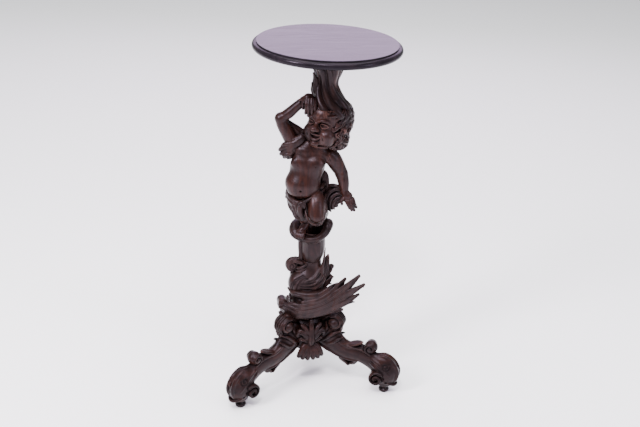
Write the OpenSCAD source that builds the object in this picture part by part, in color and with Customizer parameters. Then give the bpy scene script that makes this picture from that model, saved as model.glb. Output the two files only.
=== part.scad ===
// Carved wooden torchere (candle stand): a round moulded top carried by a cherub that stands
// on a vase, on acanthus carving, on a tripod of three scroll legs.
// Millimetres, +Z up. The frame's origin is the centre of the bounding box on the floor.

/* [Overall] */
// Height from the floor to the upper face of the top
total_height = 1000; // [990:1:1030]
// Distance from the hub's axis to the middle of each bun foot
foot_circle_r = 241; // [235:1:255]
// Turn of the carved column on its tripod, in degrees
figure_turn = -13.5; // [-20:0.5:0]

/* [Top] */
// Outer diameter of the top
top_d = 380; // [360:1:400]
// Thickness of the top
top_thickness = 22; // [20:1:26]
// Sideways lean of the column where it meets the top
top_lean = 22; // [16:1:26]
// Diameter of the bearer under the top
bearer_d = 112; // [104:1:130]

/* [Tripod] */
// Radius of the turned hub
hub_r = 46; // [44:1:50]
// Half width of a leg
leg_half_w = 19; // [17:0.5:20]
// Diameter of a bun foot
bun_d = 30; // [26:1:34]
// Height of a bun foot
bun_h = 18; // [16:1:20]

/* [Joinery] */
// Diameter of the dowels between leg and hub
leg_dowel_d = 12; // [10:1:12]
// Diameter of the dowels that hold the column's sections together
column_dowel_d = 20; // [18:1:22]
// Diameter of the pegs in the cherub's limbs
limb_peg_d = 9; // [8:1:10]

/* [Hidden] */
$fn = 48;

// Levels of the horizontal joints, from the floor up
hub_bottom = 98;
hub_top = 206;
swirl_top = 288;
tier_top = 376;
mouth_floor = 462;
rim_level = 480;
pelvis_level = 566;
chin_level = 722;
crown_level = 826;
top_under = total_height - top_thickness;
bearer_h = 16;
bearer_under = top_under - bearer_h;

// Small gap left for glue, and the clearance around dowels
glue = 0.05;
// How far a dowel's hole is deeper than the dowel
hole_spare = 1;
// Large enough to cut clean through any piece
far = 400;

// The vase's axis, in the column's frame
vase_x = 4;
vase_y = -4;
rim_r = 40;
rim_tube_r = 13;
// The rim's tilt: its front is low and its right is high
rim_tilt = [5, -11, 0];
// The faces on the hub that the legs are glued to
hub_flat_r = 42;
leg_azimuths = [-60, 60, 180];
palmette_azimuths = [0, -120, 120];
leg_dowel_levels = [134, 186];
leg_dowel_from = 18;
leg_dowel_to = 66;

// The bounding box reaches from the front of the top to the back of the rear foot
foot_over = 39;
rear_reach = foot_circle_r + foot_over;
front_reach = top_d / 2 - top_lean * sin(figure_turn);
origin_shift = (front_reach - rear_reach) / 2;

wood = "#3b211b";
dark_wood = "#2a1a1a";
light_wood = "#8a6a4a";
steel = "#77787a";

// ---- curves and skins ----

// Point i+t on a Catmull-Rom curve through the list p; each entry may hold any number of values
function curve_at(p, i, t) =
    let (n = len(p) - 1, a = p[max(i - 1, 0)], b = p[i], c = p[min(i + 1, n)], d = p[min(i + 2, n)])
    0.5 * (2 * b + (c - a) * t + (2 * a - 5 * b + 4 * c - d) * t * t + (3 * b - a - 3 * c + d) * t * t * t);
function curve(p, steps) =
    concat([for (i = [0:len(p) - 2]) for (k = [0:steps - 1]) curve_at(p, i, k / steps)], [p[len(p) - 1]]);
function xyz(s) = [s[0], s[1], s[2]];
function unit(v) = v / norm(v);
function along(s, i) = unit(xyz(s[min(i + 1, len(s) - 1)]) - xyz(s[max(i - 1, 0)]));

// A closed skin over rings that all have the same number of points
module skin(rings) {
    n = len(rings[0]);
    m = len(rings);
    faces = concat(
        [for (i = [0:m - 2]) for (k = [0:n - 1]) [i * n + k, (i + 1) * n + k, i * n + (k + 1) % n]],
        [for (i = [0:m - 2]) for (k = [0:n - 1])
            [(i + 1) * n + k, (i + 1) * n + (k + 1) % n, i * n + (k + 1) % n]],
        [[for (k = [0:n - 1]) k]],
        [[for (k = [n - 1:-1:0]) (m - 1) * n + k]]
    );
    polyhedron(points = [for (r = rings) each r], faces = faces, convexity = 6);
}

// Horizontal rings. A station is [x, y, z, half width along x, half width along y].
// Flutes are count waves round the ring, flute_depth deep as a share of the radius.
module loft(stations, steps = 2, sides = 20, grow = 0, flutes = 0, flute_depth = 0) {
    s = curve(stations, steps);
    skin([for (q = s) [for (k = [0:sides - 1])
        let (a = 360 * k / sides, w = 1 - flute_depth * (0.5 - 0.5 * cos(flutes * a)))
        [q[0] + (q[3] + grow) * w * cos(a), q[1] + (q[4] + grow) * w * sin(a), q[2]]]]);
}

// A tube with oval rings square to its path. A station is [x, y, z, half width, half thickness];
// half widths lie along side, or as near to it as the path allows.
module sweep(stations, side, steps = 3, sides = 12) {
    s = curve(stations, steps);
    skin([for (i = [0:len(s) - 1])
        let (t = along(s, i), n = unit(cross(t, side)), w = cross(n, t))
        [for (k = [0:sides - 1]) xyz(s[i]) + s[i][3] * cos(360 * k / sides) * w
            + s[i][4] * sin(360 * k / sides) * n]]);
}

// A curved blade: a sheet with a spine, half widths, and a hollow face. A station is
// [x, y, z, half width, hollow]. The sheet's width lies along side.
module blade(stations, side, thick = 6, steps = 3, across = 4) {
    s = curve(stations, steps);
    skin([for (i = [0:len(s) - 1])
        let (t = along(s, i), n = unit(cross(t, side)), w = cross(n, t))
        concat(
            [for (k = [across:-1:-across]) let (v = k / across)
                xyz(s[i]) + v * s[i][3] * w + (s[i][4] * v * v + thick * (1 - 0.6 * v * v) / 2) * n],
            [for (k = [-across:across]) let (v = k / across)
                xyz(s[i]) + v * s[i][3] * w + (s[i][4] * v * v - thick * (1 - 0.6 * v * v) / 2) * n]
        )]);
}

// Puts children at a point with their Z axis along a direction
module aim(at, dir) {
    d = unit(dir);
    translate(at) rotate([0, acos(d[2]), atan2(d[1], d[0])]) children();
}

// One mesh for a whole carving, because its skins cross each other in many small facets.
// Resizing by nothing leaves the carving's size as it is.
module carving() {
    let ($fn = 16) resize([0, 0, 0]) children();
}

// A tapered limb between two points, with a ball at its far end
module limb(from, from_r, to, to_r) {
    aim(from, to - from) cylinder(h = norm(to - from), r1 = from_r, r2 = to_r);
    translate(to) sphere(r = to_r * 1.06);
}

module peg(from, to, d) {
    aim(from, to - from) cylinder(h = norm(to - from), d = d);
}

// The hole for a peg: wider by the glue gap, and deeper at both ends
module peg_hole(from, to, d) {
    u = unit(to - from) * hole_spare;
    peg(from - u, to + u, d + 2 * glue);
}

// A scroll's rolled end: a drum with rounded rims and a raised eye, its axis along Y
module rolled_end(at, r, width) {
    rim = min(4, r / 4);
    translate(at) rotate([90, 0, 0]) {
        rotate_extrude() {
            translate([0, -width / 2]) square([r - rim, width]);
            translate([r - rim - 0.1, -width / 2 + 2 * rim]) square([rim, width - 4 * rim]);
            for (s = [-1, 1]) translate([r - rim, s * (width / 2 - rim)]) circle(r = rim);
        }
        cylinder(h = width + 5, r = r * 0.34, center = true);
    }
}

// Places the column's parts, which are drawn with the hub's axis as their own Z axis
module on_column() {
    translate([0, origin_shift, 0]) rotate([0, 0, figure_turn]) children();
}

module on_base(azimuth = 0) {
    translate([0, origin_shift, 0]) rotate([0, 0, azimuth]) children();
}

// ---- top ----

nose_r = 9;
field_step = 3.5;
field_r = top_d / 2 - 11;
top_tenon_deep = 32;
screw_circle_r = 42;
screw_len = 30;

module at_top() {
    on_column() translate([top_lean, 0, 0]) children();
}

module screw_places() {
    for (a = [45:90:315]) rotate([0, 0, a]) translate([screw_circle_r, 0, bearer_under]) children();
}

module screw(grow = 0) {
    cylinder(h = 4, r1 = 4.2 + grow, r2 = 2 + grow);
    cylinder(h = screw_len + (grow > 0 ? hole_spare : 0), r = 2 + grow);
}

module table_top() {
    color(dark_wood) at_top() difference() {
        translate([0, 0, top_under]) rotate_extrude($fn = 128) {
            square([field_r, top_thickness]);
            square([top_d / 2 - nose_r, top_thickness - field_step]);
            translate([top_d / 2 - nose_r, nose_r]) circle(r = nose_r);
        }
        screw_places() screw(glue);
    }
}

module top_bearer() {
    color(dark_wood) at_top() difference() {
        translate([0, 0, bearer_under]) rotate_extrude($fn = 96)
            polygon([[0, 0], [bearer_d / 2 - 5, 0], [bearer_d / 2, 5], [bearer_d / 2, bearer_h],
                [0, bearer_h]]);
        peg_hole([0, 0, bearer_under - 5], [0, 0, top_under], column_dowel_d);
        screw_places() screw(glue);
    }
}

module bearer_screws() {
    color(steel) at_top() screw_places() difference() {
        screw();
        translate([-5, -0.5, -1]) cube([10, 1, 2.2]);
    }
}

module top_dowel() {
    color(light_wood) at_top() peg([0, 0, bearer_under - top_tenon_deep], [0, 0, top_under],
        column_dowel_d);
}

// ---- neck shaft above the head ----

neck_stations = [
    [27, -2, crown_level, 51, 46], [26, -1, 845, 44, 41], [22, 0, 862, 37, 36], [18, 0, 880, 32, 33],
    [18, 0, 900, 32, 33], [20, 0, 925, 37, 37], [top_lean, 0, bearer_under, 47, 46]
];

module neck_solid(grow = 0) {
    loft(neck_stations, steps = 2, sides = 40, grow = grow, flutes = 10, flute_depth = 0.06);
}

module neck_shaft() {
    color(wood) on_column() difference() {
        neck_solid();
        peg_hole([top_lean, 0, bearer_under - top_tenon_deep], [top_lean, 0, bearer_under + 5],
            column_dowel_d);
        neck_dowel_place(true);
    }
}

module neck_dowel_place(hole = false) {
    from = [22, -4, crown_level - 36];
    to = [22, -4, crown_level + 36];
    if (hole) peg_hole(from, to, column_dowel_d); else peg(from, to, column_dowel_d);
}

module neck_dowel() {
    color(light_wood) on_column() neck_dowel_place();
}

module neck_leaf() {
    color(wood) on_column() carving() difference() {
        blade([[-12, -10, 862, 7, 3], [-15, -12, 880, 12, 4], [-12, -14, 902, 10, 4],
            [-20, -16, 926, 4, 1]],
            [0.3, -1, 0], thick = 8);
        neck_solid(glue);
    }
}

// ---- cherub ----

head_stations = [
    [14, -12, chin_level, 25, 24], [20, -17, 732, 41, 39], [28, -13, 755, 54, 53], [33, -7, 780, 61, 58],
    [33, -4, 805, 59, 55], [28, -2, crown_level, 50, 46]
];
torso_stations = [
    [-22, -4, pelvis_level, 43, 35], [-26, -10, 590, 46, 40], [-28, -16, 620, 47, 43],
    [-22, -13, 650, 46, 38],
    [-13, -7, 675, 47, 33], [-4, -4, 697, 46, 28], [6, -5, 710, 28, 22], [12, -7, chin_level, 20, 18]
];
raised_shoulder = [-40, -6, 703];
raised_elbow = [-91, -14, 797];
raised_wrist = [-34, -21, 848];
lowered_shoulder = [38, -6, 692];
lowered_elbow = [76, -4, 646];
lowered_wrist = [85, -12, 602];

module head_dowel_place(hole = false) {
    from = [13, -8, chin_level - 26];
    to = [13, -8, chin_level + 26];
    if (hole) peg_hole(from, to, limb_peg_d); else peg(from, to, limb_peg_d);
}

module figure_dowel_place(hole = false) {
    from = [-2, 9, mouth_floor - 36];
    to = [-2, 9, pelvis_level + 40];
    if (hole) peg_hole(from, to, 12); else peg(from, to, 12);
}

// Arm pegs run half in the torso and half in the arm, along the upper arm
module arm_peg_places(hole = false) {
    for (a = [[raised_shoulder, raised_elbow], [lowered_shoulder, lowered_elbow]]) {
        u = unit(a[1] - a[0]) * 18;
        if (hole) peg_hole(a[0] - u, a[0] + u, limb_peg_d); else peg(a[0] - u, a[0] + u, limb_peg_d);
    }
}

module cherub_head() {
    color(wood) on_column() difference() {
        loft(head_stations, steps = 2, sides = 22);
        head_dowel_place(true);
        neck_dowel_place(true);
    }
}

module head_dowel() {
    color(light_wood) on_column() head_dowel_place();
}

module torso_solid(grow = 0) {
    loft(torso_stations, steps = 2, sides = 22, grow = grow);
}

module cherub_torso() {
    color(wood) on_column() difference() {
        torso_solid();
        aim(raised_shoulder, raised_elbow - raised_shoulder) cylinder(h = 60, r = 18.5);
        aim(lowered_shoulder, lowered_elbow - lowered_shoulder) cylinder(h = 60, r = 19.5);
        arm_peg_places(true);
        head_dowel_place(true);
        figure_dowel_place(true);
        leg_peg_places(true);
    }
}

// A finger is a tapered limb
module finger(from, to, r = 4.2) {
    limb(from, r, to, r * 0.72);
}

module raised_arm() {
    color(wood) on_column() difference() {
        union() {
            limb(raised_shoulder, 18, raised_elbow, 13.5);
            limb(raised_elbow, 13, raised_wrist, 10);
            palm = [-20, -28, 857];
            limb(raised_wrist, 9.6, palm, 10.5);
            for (k = [0:3]) finger(palm + [11 - 6 * k, -5, -1], [-1 - 8 * k, -42, 821]);
            finger(palm, [-34, -28, 832], 4.6);
        }
        arm_peg_places(true);
        neck_solid(glue);
    }
}

module lowered_arm() {
    color(wood) on_column() difference() {
        union() {
            limb(lowered_shoulder, 19, lowered_elbow, 13.5);
            limb(lowered_elbow, 13, lowered_wrist, 10);
            palm = [89, -18, 586];
            limb(lowered_wrist, 9.6, palm, 11);
            finger(palm + [-6, -2, -2], [94, -23, 553]);
            finger(palm + [-1, -3, -3], [101, -25, 549]);
            finger(palm + [4, -2, -3], [110, -24, 547]);
            finger(palm + [8, 0, -2], [118, -20, 546]);
            finger(palm + [-4, -4, 4], [80, -26, 568], 4.6);
        }
        arm_peg_places(true);
    }
}

module arm_pegs() {
    color(light_wood) on_column() arm_peg_places();
}

standing_hip = [-41, -12, pelvis_level];
standing_knee = [-30, -27, 541];
standing_ankle = [-18, -22, 507];
standing_ball = [-27, -36, 491];
kneeling_hip = [7, -19, pelvis_level];
kneeling_knee = [14, -57, 534];
kneeling_ankle = [36, 16, 515];

module leg_peg_places(hole = false) {
    for (h = [standing_hip, kneeling_hip]) {
        from = h - [0, 0, 16];
        to = h + [0, 0, 16];
        if (hole) peg_hole(from, to, limb_peg_d); else peg(from, to, limb_peg_d);
    }
}

module below(level) {
    translate([-far / 2, -far / 2, level - far]) cube(far);
}

module standing_leg() {
    color(wood) on_column() difference() {
        intersection() {
            union() {
                limb(standing_hip, 22, standing_knee, 16.5);
                limb(standing_knee, 15.8, standing_ankle, 10.5);
                limb(standing_ankle, 10, standing_ball, 9);
                for (k = [-2:2])
                    limb(standing_ball, 5, standing_ball + [-3 + 3.4 * k, -12 + abs(k), -9], 3.4);
            }
            below(pelvis_level);
        }
        rim(glue);
        leg_peg_places(true);
    }
}

module kneeling_leg() {
    color(wood) on_column() difference() {
        intersection() {
            union() {
                limb(kneeling_hip, 22, kneeling_knee, 19);
                limb(kneeling_knee, 17.5, kneeling_ankle, 11.5);
                limb(kneeling_ankle, 9.5, [40, 36, 510], 7);
            }
            below(pelvis_level);
        }
        rim(glue);
        leg_peg_places(true);
    }
}

module leg_pegs() {
    color(light_wood) on_column() leg_peg_places();
}

// ---- cloth, carved in wood ----

module shoulder_sash() {
    color(wood) on_column() carving() difference() {
        union() {
            // The end that hangs in front of the shoulder
            blade([[-26, -22, 752, 10, 3], [-46, -26, 738, 15, 4], [-66, -24, 718, 18, 5],
                [-82, -19, 702, 12, 3]], [0.7, 0, 0.7], thick = 12);
            // The turn over the shoulder and the end that hangs down the back
            sweep([[-24, -20, 752, 9, 6], [-30, -6, 764, 11, 7], [-30, 12, 762, 12, 7],
                [-40, 28, 730, 15, 6], [-50, 28, 694, 10, 4]], [1, 0.2, 0.4], steps = 3, sides = 12);
        }
        torso_solid(glue);
        limb(raised_shoulder, 18 + glue, raised_elbow, 13.5 + glue);
        loft(head_stations, steps = 2, sides = 22, grow = glue);
    }
}

module waist_sash() {
    color(wood) on_column() carving() difference() {
        blade([[18, 8, 586, 14, 4], [26, 6, 606, 14, 4], [31, 3, 630, 9, 3], [30, 1, 652, 3, 1]],
            [1, -0.2, 0.1], thick = 14);
        torso_solid(glue);
    }
}

module loincloth() {
    color(wood) on_column() carving() difference() {
        union() {
            loft([[-22, -4, pelvis_level + 0.2, 49, 41], [-26, -10, 584, 51, 45], [-27, -13, 600, 50, 45]],
                steps = 2, sides = 22);
            blade([[-62, -28, 574, 14, 4], [-55, -38, 554, 15, 5], [-43, -46, 536, 11, 4],
                [-33, -50, 520, 4, 1]],
                [1, -0.6, 0.3], thick = 9);
        }
        loft([[-22, -4, pelvis_level - 2, 43 + glue, 35 + glue],
            [-22, -4, pelvis_level, 43 + glue, 35 + glue],
            [-26, -10, 590, 46 + glue, 40 + glue], [-28, -16, 620, 47 + glue, 43 + glue],
            [-28, -16, 622, 47, 43]], steps = 2, sides = 22);
        limb(standing_hip, 22.5, standing_knee, 17);
        limb(standing_knee, 16.5, standing_ankle, 11);
        limb(kneeling_hip, 22.5, kneeling_knee, 19.5);
    }
}

module fan_drapery() {
    color(wood) on_column() carving() difference() {
        blade([[18, 22, 552, 34, 5], [40, 12, 562, 32, 7], [60, 2, 580, 22, 6], [72, -6, 592, 9, 2]],
            [-0.25, 0, 1], thick = 10);
        torso_solid(glue);
        loft([[-22, -4, pelvis_level - 3, 49 + glue, 41 + glue], [-26, -10, 584, 51 + glue, 45 + glue],
            [-27, -13, 602, 50, 45]], steps = 2, sides = 22);
        back_solid(glue);
        limb(kneeling_hip, 22.5, kneeling_knee, 19.5);
        limb(kneeling_knee, 18, kneeling_ankle, 12);
        limb(kneeling_ankle, 10, [40, 36, 510], 7.5);
        rim(glue);
        limb(lowered_wrist, 9.7, [89, -18, 586], 11.2);
    }
}

module back_solid(grow = 0) {
    loft([[0, 6, mouth_floor + glue, 12, 10.5], [0, 6, 485, 12, 10.5], [-1, 8, 503, 13, 11],
        [-4, 13, 520, 17, 13],
        [-5, 15, 540, 19, 14], [-4, 15, pelvis_level - glue, 18, 14]], steps = 2, sides = 18, grow = grow);
}

module back_drapery() {
    color(wood) on_column() difference() {
        back_solid();
        figure_dowel_place(true);
    }
}

module figure_dowel() {
    color(light_wood) on_column() figure_dowel_place();
}

// ---- vase and acanthus ----

mouth_r = rim_r - rim_tube_r - 1;

module at_vase() {
    translate([vase_x, vase_y, 0]) children();
}

module rim(grow = 0) {
    at_vase() translate([0, 0, rim_level]) rotate(rim_tilt) rotate_extrude($fn = 96) {
        translate([rim_r, 0]) circle(r = rim_tube_r + grow);
        translate([rim_r - 3, -17]) circle(r = 7 + grow);
    }
}

module vase_stem() {
    color(wood) on_column() difference() {
        union() {
            at_vase() rotate_extrude($fn = 96) {
                polygon([[0, tier_top], [20, tier_top], [27, 386], [31, 402], [32, 420], [31, 438],
                    [33, 452],
                    [38, 466], [37, mouth_floor + 8], [0, mouth_floor + 8]]);
                translate([30.5, 436]) circle(r = 4.5);
            }
            rim();
        }
        at_vase() translate([0, 0, mouth_floor]) cylinder(h = 60, r = mouth_r);
        figure_dowel_place(true);
        stem_dowel_place(true);
    }
}

module stem_dowel_place(hole = false) {
    from = [vase_x, vase_y, tier_top - 40];
    to = [vase_x, vase_y, tier_top + 40];
    if (hole) peg_hole(from, to, column_dowel_d); else peg(from, to, column_dowel_d);
}

module stem_dowel() {
    color(light_wood) on_column() stem_dowel_place();
}

tier_stations = [
    [0, -12, swirl_top, 44, 40], [-5, -12, 305, 49, 45], [-6, -10, 328, 50, 43], [0, -6, 350, 42, 37],
    [4, -4, 364, 33, 32], [vase_x, vase_y, tier_top, 27, 27]
];
swirl_stations = [
    [0, -4, hub_top, 36, 36], [-3, -8, 222, 48, 44], [-2, -12, 245, 60, 53], [0, -12, 268, 58, 51],
    [0, -12, swirl_top, 47, 43]
];

module tier_solid(grow = 0) {
    loft(tier_stations, steps = 2, sides = 22, grow = grow);
}

module swirl_solid(grow = 0) {
    loft(swirl_stations, steps = 2, sides = 22, grow = grow);
}

module vase_solid(grow = 0) {
    at_vase() translate([0, 0, tier_top - 1]) cylinder(h = 70, r = 32 + grow);
}

module upper_volute() {
    color(wood) on_column() carving() difference() {
        union() {
            rolled_end([-46, -14, 368], 17, 30);
            sweep([[-46, -14, 382, 13, 4], [-32, -14, 378, 13, 6], [-22, -12, 362, 12, 7],
                [-30, -12, 345, 11, 6]],
                [0, 1, 0], steps = 3, sides = 12);
        }
        vase_solid(glue);
        tier_solid(glue);
    }
}

module side_leaf() {
    color(wood) on_column() carving() difference() {
        union() {
            blade([[38, -2, 348, 12, 3], [44, -2, 368, 13, 3], [46, -2, 388, 8, 2], [51, -2, 404, 2, 0.5]],
                [0, -1, 0], thick = 9);
            blade([[38, -10, 352, 7, 2], [39, -16, 384, 5, 1], [41, -18, 410, 3, 0.5],
                [43, -18, 428, 1.5, 0.3]],
                [0, -1, 0], thick = 6);
            blade([[34, 0, 332, 14, 3], [50, 0, 342, 13, 3], [60, 1, 356, 9, 2], [64, 2, 364, 5, 1]],
                [0, -1, 0], thick = 11);
            blade([[30, -2, 336, 13, 1], [42, -2, 352, 12, 1]], [0, -1, 0], thick = 16);
            rolled_end([62, 2, 362], 7.5, 20);
        }
        vase_solid(glue);
        tier_solid(glue);
    }
}

module shell_tier() {
    color(wood) on_column() difference() {
        tier_solid();
        stem_dowel_place(true);
        column_dowel_place(true);
    }
}

module shell_leaf() {
    color(wood) on_column() carving() difference() {
        union() {
            for (t = [[70, 330], [64, 311], [73, 301]])
                blade([[26, -16, t[1] - 12, 11, 2], [46, -14, t[1] - 6, 9, 2], [t[0], -8, t[1], 2, 0.5]],
                    [0, 0, 1], thick = 9, across = 3);
            sweep([[50, -14, 306, 9, 5], [34, -45, 301, 9, 6], [-6, -59, 302, 9, 6], [-44, -43, 307, 8, 6],
                [-58, -12, 316, 6, 5]], [0, 0, 1], steps = 3, sides = 12);
        }
        tier_solid(glue);
        below(swirl_top);
    }
}

module column_dowel_place(hole = false) {
    from = [0, -4, hub_top - 68];
    to = [0, -4, swirl_top + 30];
    if (hole) peg_hole(from, to, column_dowel_d); else peg(from, to, column_dowel_d);
}

module column_dowel() {
    color(light_wood) on_column() column_dowel_place();
}

module swirl_block() {
    color(wood) on_column() difference() {
        swirl_solid();
        column_dowel_place(true);
    }
}

// Blades of the wing, from its root on the block to each tip: [tip x, tip y, tip z, half width]
wing_tips = [[99, -18, 335, 12], [138, -14, 347, 17], [152, -20, 322, 14], [138, -26, 288, 14],
    [96, -34, 236, 12]];

module swirl_wing() {
    color(wood) on_column() carving() difference() {
        for (t = wing_tips) {
            root_z = 232 + (t[2] - 236) * 0.12;
            blade([[2, -64, root_z - 2, t[3] * 0.7, 3], [24, -60, root_z, t[3] * 0.8, 3],
                [54, -46, root_z + (t[2] - root_z) * 0.25, t[3], 4],
                [t[0] * 0.76, -38 + (t[1] + 40) * 0.5, root_z + (t[2] - root_z) * 0.66, t[3], 3],
                [t[0], t[1], t[2], 2, 0.5]], [-0.35, 0, 1], thick = 9, across = 3);
        }
        swirl_solid(glue);
        tier_solid(glue);
    }
}

module swirl_scroll() {
    color(wood) on_column() carving() difference() {
        union() {
            rolled_end([-78, -22, 245], 11, 26);
            sweep([[-84, -22, 236, 11, 3], [-70, -24, 224, 13, 5], [-46, -34, 218, 14, 6],
                [-26, -50, 222, 13, 6], [-8, -60, 226, 11, 5]],
                [0, 1, 0], steps = 3, sides = 12);
        }
        swirl_solid(glue);
    }
}

// ---- tripod ----

module hub() {
    color(wood) on_base() difference() {
        rotate_extrude($fn = 96)
            polygon([[0, hub_bottom], [24, hub_bottom], [34, hub_bottom + 6], [hub_r, hub_bottom + 16],
                [hub_r, hub_top - 8], [hub_r - 6, hub_top], [0, hub_top]]);
        for (a = leg_azimuths) rotate([0, 0, a])
            translate([-far / 2, -far - hub_flat_r, 0]) cube([far, far, far]);
        leg_dowel_places(true);
        palmette_pin_places(true);
        rotate([0, 0, figure_turn]) column_dowel_place(true);
    }
}

// At azimuth 0 a leg runs towards -Y
module leg_dowel_places(hole = false) {
    for (a = leg_azimuths) rotate([0, 0, a]) for (z = leg_dowel_levels) {
        from = [0, -leg_dowel_from, z];
        to = [0, -leg_dowel_to, z];
        if (hole) peg_hole(from, to, leg_dowel_d); else peg(from, to, leg_dowel_d);
    }
}

module leg_dowels() {
    color(light_wood) on_base() leg_dowel_places();
}

spigot_d = 10;
spigot_h = 24;

// The foot's ovals: [offset from the bun foot's axis, height, half width, half depth]
foot_stations = [
    [0, bun_h, 16, 15], [1, 26, 22, 24], [0, 42, 28, 35], [0, 62, 30, foot_over], [-1, 82, 29, 38],
    [-5, 100, 23, 31], [-9, 112, 15, 20], [-11, 118, 5, 8]
];

// A leg's centre line: [distance from the hub's axis, height, share of the half width, half depth]
leg_line = [
    [hub_flat_r - 6, 158, 1, 45], [62, 153, 1, 46], [84, 136, 1, 38], [101, 119, 0.97, 33],
    [124, 110, 0.95, 29],
    [152, 109, 0.92, 26], [176, 105, 0.92, 27], [200, 94, 1, 29], [222, 78, 1.1, 30]
];

// A drum whose axis runs across the leg
module scroll_drum(r_at, z_at, r, width) {
    translate([0, -r_at, z_at]) rotate([0, 0, 90]) rolled_end([0, 0, 0], r, width);
}

module leg_solid() {
    difference() {
        union() {
            sweep([for (s = leg_line) [0, -s[0], s[1], s[2] * leg_half_w, s[3]]],
                [1, 0, 0], steps = 2, sides = 16);
            scroll_drum(88, 204, 22, 2 * leg_half_w + 8);
            // Knob on the leg's back, and the two curls under it
            translate([0, -(foot_circle_r - 45), 136]) scale([0.9, 1, 1]) sphere(r = 19);
            scroll_drum(foot_circle_r - 112, 79, 9, leg_half_w);
            scroll_drum(foot_circle_r - 62, 62, 9.5, leg_half_w + 4);
            // Foot, with its inner volute
            scroll_drum(foot_circle_r - 29, 38, 16.5, 2 * leg_half_w + 10);
            loft([for (q = foot_stations) [0, -(foot_circle_r + q[0]), q[1], q[2], q[3]]],
                steps = 2, sides = 20);
        }
        translate([-far / 2, -hub_flat_r, 0]) cube([far, far, far]);
        translate([0, -foot_circle_r, 0]) cylinder(h = bun_h + spigot_h + hole_spare,
            d = spigot_d + 2 * glue);
    }
}

module leg(azimuth) {
    color(wood) difference() {
        on_base(azimuth) leg_solid();
        on_base() leg_dowel_places(true);
    }
}

module leg_left() { leg(leg_azimuths[0]); }
module leg_right() { leg(leg_azimuths[1]); }
module leg_rear() { leg(leg_azimuths[2]); }

module bun_foot(azimuth) {
    color(dark_wood) on_base(azimuth) translate([0, -foot_circle_r, 0]) {
        rotate_extrude($fn = 64)
            polygon([[0, 0], [bun_d / 2 - 4, 0], [bun_d / 2 - 1, 2.5], [bun_d / 2, 6], [bun_d / 2 - 1, 9.5],
                [bun_d / 2 - 4, 12], [bun_d / 2 - 5.5, 14], [bun_d / 2 - 4, 15.5], [bun_d / 2 - 3, bun_h],
                [0, bun_h]]);
        translate([0, 0, bun_h - 1]) cylinder(h = spigot_h + 1, d = spigot_d);
    }
}

module bun_foot_left() { bun_foot(leg_azimuths[0]); }
module bun_foot_right() { bun_foot(leg_azimuths[1]); }
module bun_foot_rear() { bun_foot(leg_azimuths[2]); }

// Distance from the hub's axis to the palmettes' faces
palmette_face = 52;

// A lobe of a palmette, between two points in the plane of the palmette's face
module lobe(from, to, half, depth = 6) {
    mid = (from + to) / 2;
    sweep([[from[0], -palmette_face + 3, from[1], half * 0.45, depth * 0.7],
        [mid[0], -palmette_face - 2, mid[1], half * 0.8, depth],
        [to[0], -palmette_face - 5, to[1], half, depth],
        [to[0] * 1.05, -palmette_face - 2, to[1] - half * 0.9, 1, 1]],
        [1, 0, 0], steps = 2, sides = 10);
}

// The carved shell between two legs
module palmette(azimuth) {
    color(wood) on_base(azimuth) difference() {
        carving() difference() {
            union() {
                translate([-15, -palmette_face - 1, 130]) cube([30, palmette_face, 62]);
                // Stem and bud
                sweep([[0, -palmette_face + 4, 216, 3, 3], [0, -palmette_face - 2, 208, 7, 7],
                    [0, -palmette_face - 4, 190, 8, 6], [0, -palmette_face - 4, 140, 6, 5]],
                    [1, 0, 0], steps = 2, sides = 12);
                // Side leaves
                for (s = [-1, 1]) {
                    sweep([[s * 4, -palmette_face, 152, 6, 5], [s * 16, -palmette_face - 3, 164, 11, 6],
                        [s * 29, -palmette_face, 180, 10, 6], [s * 38, -palmette_face + 3, 192, 2, 2]],
                        [s, 0, -1], steps = 2, sides = 10);
                    lobe([s * 6, 150], [s * 33, 128], 7.5);
                    lobe([s * 5, 146], [s * 23, 108], 8);
                    lobe([s * 2, 144], [s * 8, 100], 8);
                }
            }
            cylinder(h = far, r = hub_r + glue, $fn = 64);
        }
        palmette_pin_places(true, true);
    }
}

module palmette_pin_places(hole = false, one = false) {
    for (a = one ? [0] : palmette_azimuths) rotate([0, 0, a]) {
        from = [0, -(hub_r - 14), 170];
        to = [0, -(hub_r + 9), 170];
        if (hole) peg_hole(from, to, 6); else peg(from, to, 6);
    }
}

module palmette_front() { palmette(palmette_azimuths[0]); }
module palmette_left() { palmette(palmette_azimuths[1]); }
module palmette_right() { palmette(palmette_azimuths[2]); }

module palmette_pins() {
    color(light_wood) on_base() palmette_pin_places();
}

table_top();
top_bearer();
bearer_screws();
top_dowel();
neck_shaft();
neck_leaf();
neck_dowel();
cherub_head();
head_dowel();
cherub_torso();
raised_arm();
lowered_arm();
arm_pegs();
standing_leg();
kneeling_leg();
leg_pegs();
shoulder_sash();
waist_sash();
loincloth();
fan_drapery();
back_drapery();
figure_dowel();
vase_stem();
upper_volute();
side_leaf();
stem_dowel();
shell_tier();
shell_leaf();
swirl_block();
swirl_wing();
swirl_scroll();
column_dowel();
hub();
leg_left();
leg_right();
leg_rear();
leg_dowels();
bun_foot_left();
bun_foot_right();
bun_foot_rear();
palmette_front();
palmette_left();
palmette_right();
palmette_pins();
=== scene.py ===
"""Looks of the carved wooden candle stand: every carved piece is modelled as clay in a block of voxels, in
millimetres, and then turned into a mesh that stands for its CAD node."""

import math
import random

import bpy
import numpy as np
import openvdb
from mathutils import Matrix, Vector


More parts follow.
